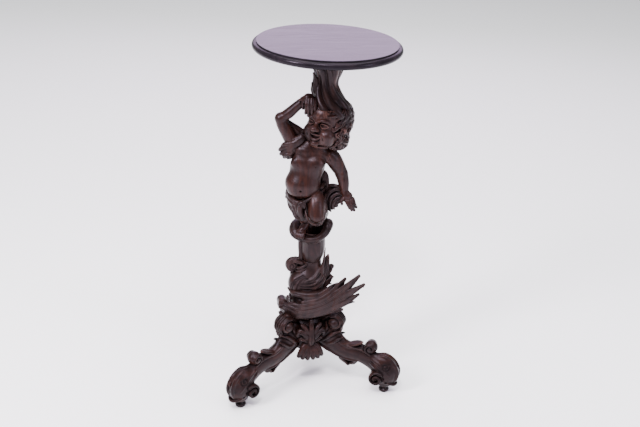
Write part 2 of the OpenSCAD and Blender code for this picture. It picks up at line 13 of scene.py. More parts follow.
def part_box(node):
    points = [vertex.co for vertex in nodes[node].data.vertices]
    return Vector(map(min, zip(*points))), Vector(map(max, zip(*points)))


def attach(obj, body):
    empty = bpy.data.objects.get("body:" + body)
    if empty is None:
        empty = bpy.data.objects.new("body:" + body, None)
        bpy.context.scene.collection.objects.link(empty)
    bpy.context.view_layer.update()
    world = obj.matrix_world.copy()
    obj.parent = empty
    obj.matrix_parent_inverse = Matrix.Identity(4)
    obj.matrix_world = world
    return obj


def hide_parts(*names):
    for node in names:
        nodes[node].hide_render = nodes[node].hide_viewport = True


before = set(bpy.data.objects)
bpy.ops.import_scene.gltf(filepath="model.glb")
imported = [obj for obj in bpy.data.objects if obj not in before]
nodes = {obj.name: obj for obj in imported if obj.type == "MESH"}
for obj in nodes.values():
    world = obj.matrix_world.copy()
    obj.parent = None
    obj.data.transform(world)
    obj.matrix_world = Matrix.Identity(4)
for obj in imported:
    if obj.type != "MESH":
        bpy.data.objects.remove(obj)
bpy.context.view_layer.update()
random.seed(7)

FAR = 24.0
FIGURE_TURN = math.radians(-13.5)


def middle(node):
    low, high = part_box(node)
    return (low + high) / 2 * 1000


feet = [middle("bun_foot_" + side) for side in ("left", "right", "rear")]
HUB = sum(feet, Vector()) / 3


def v3(*p):
    return np.array(p, float)


def unit(v):
    v = np.asarray(v, float)
    return v / max(np.linalg.norm(v), 1e-9)


def turn_z(degrees):
    a = math.radians(degrees)
    return np.array([[math.cos(a), -math.sin(a), 0], [math.sin(a), math.cos(a), 0], [0, 0, 1]])


# ---- curves ----


def curve(points, steps=6):
    """A Catmull-Rom curve through rows of any number of values."""
    p = np.array(points, float)
    n = len(p) - 1
    out = []
    for i in range(n):
        a, b, c, d = p[max(i - 1, 0)], p[i], p[i + 1], p[min(i + 2, n)]
        for t in np.arange(steps) / steps:
            out.append(
                0.5
                * (2 * b + (c - a) * t + (2 * a - 5 * b + 4 * c - d) * t**2 + (3 * b - a - 3 * c + d) * t**3)
            )
    out.append(p[n])
    return np.array(out)


# ---- shapes: each returns its lowest and highest corner, and a function of X, Y, Z that gives distance ----


def ball(centre, radius, basis=None):
    c = np.array(centre, float)
    r = np.array(radius if np.ndim(radius) else (radius,) * 3, float)
    m = np.eye(3) if basis is None else np.array(basis, float)
    reach = r.max()

    def distance(x, y, z):
        dx, dy, dz = x - c[0], y - c[1], z - c[2]
        q = [m[0, i] * dx + m[1, i] * dy + m[2, i] * dz for i in range(3)]
        k0 = np.sqrt(sum((q[i] / r[i]) ** 2 for i in range(3)))
        k1 = np.sqrt(sum((q[i] / r[i] ** 2) ** 2 for i in range(3)))
        return k0 * (k0 - 1) / np.maximum(k1, 1e-4)

    return c - reach, c + reach, distance


def tube(points, radii, steps=5):
    """A round tube through points; radii is one number or one for each point."""
    p = np.array(points, float)
    r = np.full(len(p), radii, float) if np.ndim(radii) == 0 else np.array(radii, float)
    s = curve(np.column_stack([p, r]), steps) if steps > 1 else np.column_stack([p, r])

    def distance(x, y, z):
        best = None
        for a, b in zip(s[:-1], s[1:]):
            ab = b[:3] - a[:3]
            l2 = max(float(ab @ ab), 1e-9)
            px, py, pz = x - a[0], y - a[1], z - a[2]
            t = np.clip((px * ab[0] + py * ab[1] + pz * ab[2]) / l2, 0, 1)
            d = np.sqrt((px - t * ab[0]) ** 2 + (py - t * ab[1]) ** 2 + (pz - t * ab[2]) ** 2) - (
                a[3] + t * (b[3] - a[3])
            )
            best = d if best is None else np.minimum(best, d)
        return best

    reach = s[:, 3].max()
    return s[:, :3].min(0) - reach, s[:, :3].max(0) + reach, distance


def ribbon(stations, side, steps=5, flutes=0, depth=0.0):
    """A sheet with a round edge. A station is x, y, z, half width, half thickness, hollow. Its width lies
    along side, one direction or one for each station. flutes waves of that depth run along it."""
    st = np.array(stations, float)
    sd = np.array(side, float)
    if sd.ndim == 1:
        sd = np.repeat(sd[None], len(st), 0)
    s = curve(np.column_stack([st, sd]), steps)
    n = len(s)
    tangent = np.gradient(s[:, :3], axis=0)
    tangent /= np.maximum(np.linalg.norm(tangent, axis=1)[:, None], 1e-9)
    nrm = np.cross(tangent, s[:, 6:9])
    nrm /= np.maximum(np.linalg.norm(nrm, axis=1)[:, None], 1e-9)
    wid = np.cross(nrm, tangent)

    def distance(x, y, z):
        best = None
        for i in range(n - 1):
            a, b = s[i], s[i + 1]
            ab = b[:3] - a[:3]
            l2 = max(float(ab @ ab), 1e-9)
            px, py, pz = x - a[0], y - a[1], z - a[2]
            t = np.clip((px * ab[0] + py * ab[1] + pz * ab[2]) / l2, 0, 1)
            qx, qy, qz = px - t * ab[0], py - t * ab[1], pz - t * ab[2]
            w, m = (wid[i] + wid[i + 1]) / 2, (nrm[i] + nrm[i + 1]) / 2
            u = qx * w[0] + qy * w[1] + qz * w[2]
            v = qx * m[0] + qy * m[1] + qz * m[2]
            e2 = np.maximum(qx * qx + qy * qy + qz * qz - u * u - v * v, 0)
            half = a[3] + t * (b[3] - a[3])
            share = np.clip(u / np.maximum(half, 0.5), -1, 1)
            v = v - (a[5] + t * (b[5] - a[5])) * share**2
            if flutes:
                v = v - depth * np.cos(math.pi * flutes * share)
            d = np.sqrt(np.maximum(np.abs(u) - half, 0) ** 2 + v * v + e2) - (a[4] + t * (b[4] - a[4]))
            best = d if best is None else np.minimum(best, d)
        return best

    reach = (s[:, 3] + s[:, 4] + np.abs(s[:, 5])).max() + depth
    return s[:, :3].min(0) - reach, s[:, :3].max(0) + reach, distance


def scroll_stations(centre, axis, start, r_out, r_in, turns, half_width, half_thick, grow=1.0):
    """Stations of a ribbon rolled into a scroll. start is the direction of its outer end."""
    ax = unit(axis)
    e1 = unit(np.array(start, float) - ax * (np.array(start, float) @ ax))
    e2 = np.cross(ax, e1)
    out = []
    count = max(int(abs(turns) * 10), 4)
    for i in range(count + 1):
        t = i / count
        a = turns * 2 * math.pi * t
        r = r_out + (r_in - r_out) * t**0.8
        p = np.array(centre, float) + r * (math.cos(a) * e1 + math.sin(a) * e2)
        out.append([*p, half_width * (1 + (grow - 1) * t), half_thick, 0])
    return out


class Clay:
    """A block of voxels that holds distance to the surface, in mm, less than 0 inside."""

    def __init__(self, low, high, voxel=1.0):
        self.h = voxel
        self.low = np.array(low, float)
        self.size = np.ceil((np.array(high, float) - self.low) / voxel).astype(int) + 1
        self.d = np.full(self.size, FAR, np.float32)

    def window(self, low, high):
        a = np.clip(np.floor((low - self.low) / self.h).astype(int), 0, self.size)
        b = np.clip(np.ceil((high - self.low) / self.h).astype(int) + 1, 0, self.size)
        if (b <= a).any():
            return None, None
        x, y, z = ((self.low[i] + self.h * np.arange(a[i], b[i])).astype(np.float32) for i in range(3))
        return tuple(slice(i, j) for i, j in zip(a, b)), (x[:, None, None], y[None, :, None],
                                        z[None, None, :])

    def _blend(self, shape, k, sign):
        low, high, distance = shape
        pad = max(k, 2 * self.h) + 3 * self.h
        where, xyz = self.window(low - pad, high + pad)
        if where is None:
            return self
        old = self.d[where]
        new = np.clip(distance(*xyz), -FAR, FAR).astype(np.float32)
        if sign > 0:
            h = np.maximum(k - np.abs(old - new), 0) / k if k > 0 else 0
            self.d[where] = np.minimum(old, new) - h * h * k / 4
        else:
            h = np.maximum(k - np.abs(old + new), 0) / k if k > 0 else 0
            self.d[where] = np.maximum(old, -new) + h * h * k / 4
        return self

    def add(self, shape, k=3.0):
        return self._blend(shape, k, 1)

    def cut(self, shape, k=2.0):
        return self._blend(shape, k, -1)

    def slice(self, point, normal):
        """Cuts away all that lies past a plane."""
        p, n = np.array(point, float), unit(normal)
        _, (x, y, z) = self.window(self.low, self.low + self.h * self.size)
        plane = ((x - p[0]) * n[0] + (y - p[1]) * n[1] + (z - p[2]) * n[2]).astype(np.float32)
        self.d = np.maximum(self.d, np.broadcast_to(plane, self.d.shape))
        return self

    def sample(self, p):
        q = np.clip((p - self.low) / self.h, 0, self.size - 1.001)
        i = q.astype(int)
        f = (q - i).astype(np.float32)
        out = 0
        for dx in (0, 1):
            for dy in (0, 1):
                for dz in (0, 1):
                    w = (
                        (f[:, 0] if dx else 1 - f[:, 0])
                        * (f[:, 1] if dy else 1 - f[:, 1])
                        * (f[:, 2] if dz else 1 - f[:, 2])
                    )
                    out = out + w * self.d[i[:, 0] + dx, i[:, 1] + dy, i[:, 2] + dz]
        return out

    def normals(self, p):
        e = self.h
        g = np.stack([self.sample(p + e * a) - self.sample(p - e * a) for a in np.eye(3)], 1)
        return g / np.maximum(np.linalg.norm(g, axis=1)[:, None], 1e-6)

    def onto(self, points, lift=0.0):
        """Points moved to the surface, or lift mm above it."""
        p = np.array(points, float)
        for _ in range(4):
            p = p - self.normals(p) * (self.sample(p)[:, None] - lift)
        return p

    def mesh(self):
        """The largest closed piece: points in mm, faces, and how hollow or proud each point lies."""
        # A one-voxel empty margin closes whatever reaches the block's side.
        for axis in range(3):
            for side in (0, -1):
                at = [slice(None)] * 3
                at[axis] = side
                self.d[tuple(at)] = np.maximum(self.d[tuple(at)], 0.5 * self.h)
        grid = openvdb.FloatGrid(FAR)
        grid.copyFromArray(self.d)
        points, tris, quads = grid.convertToPolygons(isovalue=0.0, adaptivity=0.0)
        points = np.array(points, float) * self.h + self.low
        faces = [np.array(f, int) for f in (tris, quads) if len(f)]
        label = np.arange(len(points))
        while True:
            old = label.copy()
            for f in faces:
                low = label[f].min(1)
                for k in range(f.shape[1]):
                    np.minimum.at(label, f[:, k], low)
            label = label[label]
            if (label == old).all():
                break
        values, counts = np.unique(label, return_counts=True)
        keep = label == values[counts.argmax()]
        new = np.cumsum(keep) - 1
        faces = [new[f[keep[f[:, 0]]]] for f in faces]
        points = points[keep]
        n = self.normals(points)
        # hollow is ambient occlusion read from the distance field outside each point; the wood material
        # paints shade with it. proud is how convex the point is.
        hollow = sum((1 - np.clip(self.sample(points + n * s) / s, -1, 1)) * w for s,
                     w in ((2, 0.3), (5, 0.4), (10, 0.3)))
        proud = sum(np.clip((self.sample(points - n * s) + s) / s, 0, 1) * w for s,
                    w in ((2, 0.6), (4, 0.4)))
        return points, faces, hollow, proud


def to_object(p, turn):
    """From the drawing's millimetres to the object's frame, in metres, turned about the hub's axis."""
    c, s = math.cos(turn), math.sin(turn)
    x, y = p[:, 0] * c - p[:, 1] * s, p[:, 0] * s + p[:, 1] * c
    return np.column_stack([x + HUB.x, y + HUB.y, p[:, 2]]) / 1000


def piece(name, clay, node, material, turn=FIGURE_TURN):
    """A mesh made of a block of clay, or of one that has been meshed already."""
    points, faces, hollow, proud = clay.mesh() if isinstance(clay, Clay) else clay
    points = to_object(points, turn)
    mesh = bpy.data.meshes.new(name)
    loops = [f for part in faces for f in part.tolist()]
    mesh.from_pydata(points.tolist(), [], loops)
    mesh.validate()
    # hollow carries the ambient occlusion that the wood paints as shade; proud carries the convexity used
    # for worn edges.
    for key, values in (("hollow", hollow), ("proud", proud)):
        layer = mesh.attributes.new(key, "FLOAT", "POINT")
        layer.data.foreach_set("value", values.astype(np.float32))
    mesh.polygons.foreach_set("use_smooth", [True] * len(mesh.polygons))
    # The level set's faces look inwards or outwards by its sign, so they are made to look out.
    volume = 0.0
    for part in faces:
        for i in range(1, part.shape[1] - 1):
            a, b, c = points[part[:, 0]], points[part[:, i]], points[part[:, i + 1]]
            volume += (np.cross(a, b) * c).sum()
    if volume < 0:
        mesh.flip_normals()
    mesh.update()
    obj = bpy.data.objects.new(name, mesh)
    bpy.context.scene.collection.objects.link(obj)
    obj.data.materials.append(material)
    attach(obj, "root")
    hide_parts(*([node] if isinstance(node, str) else node))
    return obj


# ---- the cherub ----

# The head's own frame: x to the cherub's left, y to the back, z up
HEAD_AT = v3(33, -6, 791)
HEAD_SIZE = 1.2
HEAD_BASIS = turn_z(-33) @ np.array(
    [[1, 0, 0], [0, math.cos(0.07), math.sin(0.07)], [0, -math.sin(0.07), math.cos(0.07)]]
) @ np.array([[math.cos(0.1), 0, math.sin(0.1)], [0, 1, 0], [-math.sin(0.1), 0, math.cos(0.1)]])


def on_head(*p):
    return HEAD_AT + HEAD_BASIS @ v3(*p) * HEAD_SIZE


def hb(centre, radius):
    return ball(on_head(*centre), np.array(radius) * HEAD_SIZE, HEAD_BASIS)


def ht(points, radii, steps=5):
    return tube([on_head(*p) for p in points], np.array(radii) * HEAD_SIZE, steps)


def lock(clay, skull, root, tip_dir, side, length, r, curl=1.0):
    """A lock of hair: a wavy taper that lies on the skull and ends in a small curl."""
    d, s = unit(tip_dir), unit(side)
    p = [root + d * length * t + s * curl * r * 0.9 * math.sin(t * 5.2) for t in (0, 0.2, 0.4, 0.6, 0.8)]
    end = p[-1] + s * curl * r * 0.2
    p += [end + d * r * 0.9 - s * curl * r * 0.5, end + d * r * 1.0 - s * curl * r * 1.3,
          end + d * r * 0.2 - s * curl * r * 1.6]
    p = skull.onto(p, r * 0.15)
    clay.add(tube(p, [r * 0.75, r, r * 1.05, r, r * 0.9, r * 0.72, r * 0.6, r * 0.42], 4), k=0.6)
    # Strands cut along the lock
    out = skull.normals(p)
    for o in (-0.42, 0.42):
        q = [a + s * r * o + n * r * 0.98 for a, n in zip(p[:6], out)]
        clay.cut(tube(q, r * 0.16, 3), k=1.2)


def make_head():
    c = Clay([-42, -78, 700], [106, 70, 842], 0.85)
    c.add(hb((0, 8, 12), (43, 49, 42)))
    c.add(hb((0, -16, -6), (36, 32, 42)), k=10)
    c.add(hb((0, -23, 22), (34, 27, 25)), k=10)
    c.add(hb((0, -27, -36), (21, 18, 15)), k=10)
    for s in (-1, 1):
        c.add(hb((s * 20, -31, -20), (16.5, 16.5, 15)), k=6)
        c.add(hb((s * 30, -8, -22), (12, 18, 16)), k=10)
        c.add(hb((s * 20, -27, -32), (15, 15, 14)), k=8)
    c.add(hb((0, -43.5, -40), (9.5, 7.5, 7.5)), k=6)
    c.add(hb((0, -20, -47), (25, 23, 10)), k=5)
    # Nose
    c.add(ht([(0, -45, 9), (0, -50, 1), (0, -55.5, -6)], [4.2, 5, 7]), k=6)
    for s in (-1, 1):
        c.add(hb((s * 6.8, -51, -8), (4.8, 5, 4)), k=2.5)
    for s in (-1, 1):
        c.cut(hb((s * 3.8, -55.5, -12), (1.8, 2.2, 1.2)), k=1.5)
        # Brow, deep socket, half closed eye and lids
        c.cut(hb((s * 16, -50, 3.5), (12, 13.5, 8)), k=3)
        c.add(ht([(s * 4, -47, 11), (s * 12, -49.5, 15.5), (s * 21, -46, 15.5), (s * 28, -37, 10)],
                 [2.6, 3.6, 3.6, 2.2]), k=5)
        c.add(hb((s * 15.8, -37.5, 3.2), (8, 7.6, 6.6)), k=0.6)
        c.add(ht([(s * 7.6, -43.6, 3), (s * 11, -45.8, 7), (s * 16.5, -46.4, 8.4), (s * 22, -43, 7),
                  (s * 25, -38.5, 3)],
                 [1.2, 1.8, 2, 1.8, 1.2]), k=1.2)
        c.add(ht([(s * 7.6, -43.6, 2.6), (s * 12, -46, -0.4), (s * 17, -45.8, -1.4), (s * 22, -42.4, -0.2),
                  (s * 25, -38.5, 2.6)],
                 [1.1, 1.5, 1.7, 1.5, 1.1]), k=1.2)
        c.cut(hb((s * 15.4, -46, 3.4), (3.2, 3, 2.8)), k=0.5)
        # Smile fold and cheek dimple
        c.cut(ht([(s * 11, -51.5, -11), (s * 18, -49.5, -18), (s * 20.5, -45.5, -27)], [1, 1.8, 1.2]), k=3)
        # Ear
        c.add(hb((s * 43, 4, -3), (6, 10, 14)), k=3)
        c.cut(hb((s * 48.5, 1, -1), (3.6, 5.5, 8.5)), k=2)
        c.add(ht([(s * 47, -3, -2), (s * 48, 0, 8), (s * 47, 8, 9), (s * 46, 12, 0), (s * 44, 6, -13)], 2),
              k=1.5)
    # Mouth, open in a smile
    c.cut(hb((0, -51, -25), (13.5, 13, 6.4)), k=3)
    c.add(ht([(-15.5, -43, -19), (-8, -49, -18.8), (-2.6, -51.2, -18.2), (0, -51, -18.8),
              (2.6, -51.2, -18.2),
              (8, -49, -18.8), (15.5, -43, -19)], [1.3, 2.1, 2.5, 2.3, 2.5, 2.1, 1.3]), k=1.5)
    c.add(ht([(-14.5, -43, -21), (-8, -47.4, -28.2), (0, -49, -30.6), (8, -47.4, -28.2), (14.5, -43, -21)],
             [1.2, 2.5, 3, 2.5, 1.2]), k=2)
    c.cut(ht([(-20, -36, -42), (0, -42, -45.5), (20, -36, -42)], 1.3), k=3)
    # Hair: a mass behind the face, rows of curls over it, and locks swept up off the brow
    c.add(hb((3, 14, 3), (41, 36, 38)), k=3)
    c.add(hb((22, 6, -36), (24, 23, 19)), k=8)
    c.add(hb((4, 20, -30), (35, 25, 24)), k=8)
    skull = Clay(c.low, c.low + c.h * (c.size - 1), c.h)
    skull.d = c.d.copy()
    for j, (z, count, low) in enumerate(((34, 11, 48), (22, 13, 46), (9, 14, 44), (-4, 14, 45),
                                        (-17, 14, 46), (-30, 13, 46), (-43, 11, 44))):
        for i in range(count):
            a = math.radians(low + (284 - low) * (i + 0.5 * (j % 2)) / (count - 0.5))
            out = HEAD_BASIS @ unit((math.sin(a), -math.cos(a), z / 70))
            side = unit(np.cross(out, (0, 0, 1)))
            down = unit(np.cross(side, out))
            down = down if down[2] < 0 else -down
            root = skull.onto([on_head(math.sin(a) * 42 + 3, -math.cos(a) * 38 + 12, z + 4)])[0]
            lock(c, skull, root, down + side * random.uniform(-0.5, 0.5), side, random.uniform(15, 21),
                 random.uniform(6, 7.6),
                 random.choice((1, -1)))
    c.add(hb((0, -4, 37), (37, 35, 9)), k=3)
    # A long wave from the brow over the temple
    for dz, r in ((0, 6.5), (-9, 5.5), (9, 6)):
        p = skull.onto(curve([on_head(16, -34, 33 + dz), on_head(30, -22, 34 + dz),
                              on_head(40, -6, 26 + dz), on_head(45, 8, 12 + dz), on_head(46, 16,
                                        -2 + dz)], 4), 1)
        c.add(tube(p, np.linspace(r * 0.6, r, len(p)), 1), k=1)
    for i in range(9):
        a = math.radians(-80 + 19 * i)
        p = []
        for t, (rise, pull) in enumerate([(18, 1.03), (28, 1.04), (38, 0.92), (47, 0.66)]):
            w = a + math.radians(9 * math.sin(i * 1.7 + t))
            p.append((math.sin(w) * 43 * pull, -math.cos(w) * 43 * pull + 3 + 3 * t, rise))
        c.add(ht(p, [3, 6, 7.4, 7], 5), k=1)
        for o in (-0.5, 0.4):
            q = [on_head(*x) + unit(HEAD_BASIS @ v3(math.sin(a + o), -math.cos(a + o), 0.7)) * 8 for x in p]
            c.cut(tube(q, [0.8, 1.3, 1.4, 1.2], 4), k=1.5)
    c.slice((0, 0, 836), (0, 0, 1))
    return c


def make_torso():
    c = Clay([-92, -74, 556], [72, 50, 744], 1.0)
    c.add(ball((-20, -2, 588), (43, 35, 30)))
    c.add(ball((-27, -19, 621), (47, 41, 40)), k=14)
    c.add(ball((-26, -27, 602), (37, 29, 19)), k=10)
    c.add(ball((-16, -14, 668), (46, 36, 42)), k=18)
    c.add(tube([(-44, -8, 710), (-6, -10, 711), (36, -9, 699)], [19, 21, 20]), k=14)
    c.add(ball((-27, -20, 712), (22, 17, 20)), k=12)
    c.add(tube([(4, -6, 706), (13, -10, 740)], [24, 22]), k=10)
    c.add(ball((-16, -10, 730), (18, 15, 15)), k=10)
    for x, z in ((-40, 684), (6, 682)):
        c.add(ball((x, -33.5, z), (20, 11, 15)), k=12)
        c.cut(ball((x, -47.5, z - 3), (2.4, 1.2, 2.4)), k=1.5)
    # Folds of the chest, belly and sides, the navel and the breastbone
    c.cut(tube([(-15, -47, 702), (-17, -51, 684), (-21, -55, 660), (-26, -60, 640)], [1, 1.6, 1.2, 0.6]),
          k=9)
    c.cut(ball((-31, -60, 612), (3.2, 4.5, 2.6)), k=2.5)
    c.cut(tube([(-36, -34, 730), (-16, -40, 722), (0, -38, 720)], 1.6), k=6)
    c.cut(tube([(36, -30, 714), (22, -38, 714), (6, -40, 718)], 1.6), k=6)
    c.cut(tube([(-58, -24, 716), (-54, -34, 700), (-58, -36, 684)], [1, 1.8, 1]), k=6)
    # Back: spine, shoulder blades and seat
    c.cut(tube([(2, 20, 706), (-8, 23, 676), (-16, 25, 636), (-20, 34, 604), (-21, 34, 578)],
               [2, 3, 3, 3, 3]), k=10)
    for x, z in ((-30, 690), (20, 684)):
        c.add(ball((x, 12, z), (17, 13, 19)), k=9)
    for x in (-42, 0):
        c.add(ball((x, 14, 588), (22, 24, 24)), k=5)
    return c


def fingers(clay, palm, roots, tips, r=4.4, bend=(0, 0, 0), k=1.0):
    for a, b in zip(roots, tips):
        a, b = v3(*a) + palm, v3(*b) + palm
        mid = (a + b) / 2 + v3(*bend)
        clay.add(tube([a, mid, b], [r, r * 0.92, r * 0.68], 5), k=k)
        clay.add(ball(b + unit(b - mid) * r * 0.1, r * 0.8), k=1)
        clay.cut(tube([mid + v3(-r, -r, 0) * 0.7, mid + v3(r, -r, 0) * 0.7], 0.5, 1), k=1.5)


def make_raised_arm():
    c = Clay([-118, -66, 692], [16, 26, 888], 0.9)
    c.add(tube([(-44, -8, 710), (-55, -9, 728), (-70, -11, 755), (-84, -13, 780), (-90, -14, 796)],
               [20.5, 20, 18.5, 16.5, 15]))
    c.add(ball((-91, -14, 798), (12.6, 13, 12)), k=6)
    c.add(tube([(-88, -15, 798), (-71, -17, 811), (-51, -19, 831), (-32, -21, 850)], [12.5, 14, 12.6, 11]),
          k=5)
    c.cut(tube([(-62, -4, 784), (-70, -26, 790), (-80, -32, 794)], 1.3), k=4)
    c.cut(tube([(-44, -10, 856), (-40, -30, 848), (-36, -34, 838)], 1.1), k=3)
    c.add(ball((-20, -27, 858), (14, 11, 13)), k=6)
    palm = v3(-15, -32, 860)
    roots = [(-9, -3, -2), (-3, -6, 0), (4, -7, 0), (10, -6, -3)]
    tips = [(-11, -6, -38), (-4, -10, -43), (5, -11, -42), (13, -9, -36)]
    fingers(c, palm, roots, tips, 5.2, (0, -6, 3))
    fingers(c, palm, [(-12, 4, -6)], [(-18, 2, -28)], 5.2, (-3, -2, 0))
    return c


def make_lowered_arm():
    c = Clay([18, -50, 536], [138, 26, 730], 0.9)
    c.add(tube([(38, -8, 699), (50, -7, 689), (62, -5, 670), (73, -4, 652)], [22.5, 22, 20, 17]))
    c.add(ball((75, -4, 645), (16.5, 15, 14)), k=5)
    c.add(tube([(76, -5, 644), (80, -7, 630), (83, -9, 616), (85, -12, 601)], [16, 16, 14.4, 11.6]), k=5)
    c.cut(tube([(74, -22, 603), (85, -25, 602), (98, -20, 604)], 1.1), k=3)
    c.cut(tube([(44, -30, 682), (38, -28, 698), (34, -24, 712)], 1.4), k=5)
    c.add(ball((94, -17, 587), (14, 10.5, 13)), k=6)
    palm = v3(96, -19, 584)
    roots = [(-6, -4, -5), (1, -5, -7), (8, -4, -6), (13, -1, -3)]
    tips = [(5, -7, -28), (11, -8, -33), (18, -6, -34), (23, -1, -27)]
    fingers(c, palm, roots, tips, 5, (-1, -4, 2))
    fingers(c, palm, [(-11, -3, 0)], [(-16, -8, -16)], 5, (-4, -3, 0))
    return c


def make_standing_leg():
    c = Clay([-74, -66, 460], [14, 24, 580], 0.9)
    c.add(tube([(-40, -10, 574), (-37, -20, 556), (-30, -27, 541)], [23, 20, 16.5]))
    c.add(ball((-29, -30, 537), (15, 14, 13)), k=6)
    c.add(tube([(-28, -27, 534), (-21, -22, 519), (-15, -20, 504)], [14, 14, 10.5]), k=6)
    c.add(tube([(-14, -18, 499), (-20, -28, 493), (-26, -36, 487)], [10, 10.5, 9]), k=5)
    c.cut(tube([(-28, -24, 510), (-18, -32, 508), (-6, -28, 508)], 1.1), k=3)
    for i in range(5):
        x = -37 + 4.4 * i
        r = (3.4, 3.6, 3.8, 4, 5)[i]
        c.add(tube([(x + 2, -37 - 1.2 * i, 487), (x - 1, -46 - i, 482), (x - 2, -50 - 1.3 * i, 475)],
                   [r, r, r * 0.85], 4), k=0.8)
        c.cut(ball((x - 2, -53.6 - 1.5 * i, 477.5), (r * 0.55, 1, 1.6)), k=0.5)
    return c


def make_kneeling_leg():
    c = Clay([-30, -90, 500], [62, 52, 616], 0.9)
    c.add(tube([(8, -24, 592), (10, -40, 580), (12, -52, 562), (13, -58, 546)], [20, 23, 23, 21.5]))
    c.add(ball((14, -59, 544), (20, 19, 19)), k=8)
    c.add(tube([(15, -50, 538), (25, -22, 528), (35, 12, 519)], [18, 17, 12]), k=6)
    c.add(tube([(35, 14, 517), (39, 30, 512), (41, 40, 509)], [10, 8.5, 6.5]), k=4)
    c.cut(tube([(34, 4, 530), (44, 8, 520), (40, 14, 510)], 1.1), k=3)
    return c




def make_loincloth():
    c = Clay([-86, -86, 500], [50, 46, 620], 0.9)
    # The belt of cloth under the belly
    low_line = [(-66, -6, 592), (-60, -34, 585), (-43, -52, 580), (-22, -58, 583), (-4, -52, 591),
                (10, -40, 602), (20, -22, 612), (24, 2, 616)]
    c.add(tube(low_line, [4.4, 4.4, 4.4, 4.2, 3.8, 3.6, 3.4, 3.4], 5), k=2.5)
    c.add(tube([(x, y - 0.6, z - 8) for x, y, z in low_line[:4]], [5.6, 5.6, 5.4, 3], 5), k=2.5)
    c.add(tube([(-62, -12, 578), (-56, -34, 569), (-42, -50, 566), (-30, -58, 572)], [6.5, 6.5, 6, 4], 5),
          k=2.5)
    back = [(24, 4, 612), (17, 28, 602), (-10, 39, 592), (-44, 37, 592), (-64, 14, 594), (-67, -8, 592)]
    for drop, r in ((0, 4.6), (-9, 6), (-19, 6)):
        c.add(tube([(x, y, z + drop) for x, y, z in back], r, 5), k=3)
    c.add(tube([(-22, -22, 586), (-20, -20, 562), (-14, -14, 540), (-8, -8, 528)], [15, 14, 11, 8]), k=3)
    c.add(ribbon([(-54, -24, 580, 12, 5, 0), (-48, -36, 564, 12, 6, 2), (-38, -44, 550, 10, 6, 3),
                  (-28, -46, 538, 7, 5, 3)],
                 (0.75, -0.6, 0.1), 4), k=4)
    # The knot, and the folds that fall from it over the thigh
    c.add(ball((-28, -61, 577), (9, 7, 9)), k=2)
    c.add(ball((-20, -60, 573), (6, 6, 10)), k=2)
    c.cut(tube([(-34, -67, 582), (-26, -69, 577), (-22, -67, 566)], 1.2), k=1.5)
    falls = [
        [(-60, -18, 584), (-56, -32, 568), (-50, -42, 554), (-46, -46, 545)],
        [(-50, -40, 579), (-47, -47, 564), (-41, -52, 550), (-36, -53, 540)],
        [(-40, -52, 573), (-38, -57, 560), (-33, -59, 547), (-27, -57, 534)],
        [(-31, -62, 570), (-31, -63, 558), (-27, -62, 546), (-22, -57, 532)],
    ]
    for i, p in enumerate(falls):
        c.add(tube(p, np.linspace(6.6, 4.4, len(p)) + 1.2 * (i % 2), 5), k=1.6)
    # The flap that turns up at the hem of the falls
    c.add(tube([(-50, -46, 548), (-42, -54, 538), (-33, -58, 534), (-25, -58, 536)], [3.5, 5.4, 5.4, 3.5],
               5), k=1)
    # The hem round the raised knee, and the fold that runs on from it to the fan
    hem = [(-18, -44, 574), (-17, -58, 561), (-12, -70, 545), (-1, -77, 532), (14, -80, 527),
           (27, -77, 531), (34, -66, 545), (36, -52, 562),
           (34, -36, 580), (36, -20, 590)]
    c.add(tube(hem, [1.6, 2.2, 2.6, 3, 3, 2.6, 2.6, 2.6, 3, 3], 5), k=1.5)
    c.add(tube([(-18, -44, 574), (-22, -34, 584), (-22, -20, 588)], [2.6, 3, 3], 3), k=2)
    c.add(tube([(40, -50, 552), (38, -34, 570), (34, -14, 586)], [2, 2.6, 3], 3), k=2)
    return c


def make_waist_sash():
    c = Clay([0, -34, 570], [54, 34, 664], 0.9)
    c.add(ribbon([(20, 6, 582, 11, 5, 2), (27, 3, 602, 11, 5, 4), (31, 1, 622, 8, 4.6, 3),
                  (32, 0, 638, 5, 3.4, 2), (30, 0, 650, 1.5, 1.8, 0)],
                 (1, -0.35, 0), 5), k=1)
    for o in (-7, 0, 7):
        c.add(tube([(20 + o, -2 + o * 0.3, 584), (27 + o, -4 + o * 0.3, 604), (31 + o * 0.6, -3, 626),
                    (31, -1, 647)], [3, 3.4, 2.8, 1.4], 5), k=1.5)
    c.add(tube([(20, 6, 596), (24, 6, 620), (22, 4, 640)], [10, 9.5, 8.5]), k=3)
    c.add(tube([(14, -36, 604), (24, -28, 612), (29, -14, 616), (30, 0, 612)], [2.5, 4, 5, 4]), k=1.5)
    c.add(tube([(10, -40, 596), (22, -30, 601), (30, -14, 604), (32, 4, 600)], [2.5, 4, 5, 4]), k=1.5)
    return c


def scroll(centre, axis, start, r_out, r_in, turns):
    """Points along a flat spiral."""
    return [s[:3] for s in scroll_stations(centre, axis, start, r_out, r_in, turns, 1, 1)][:14]


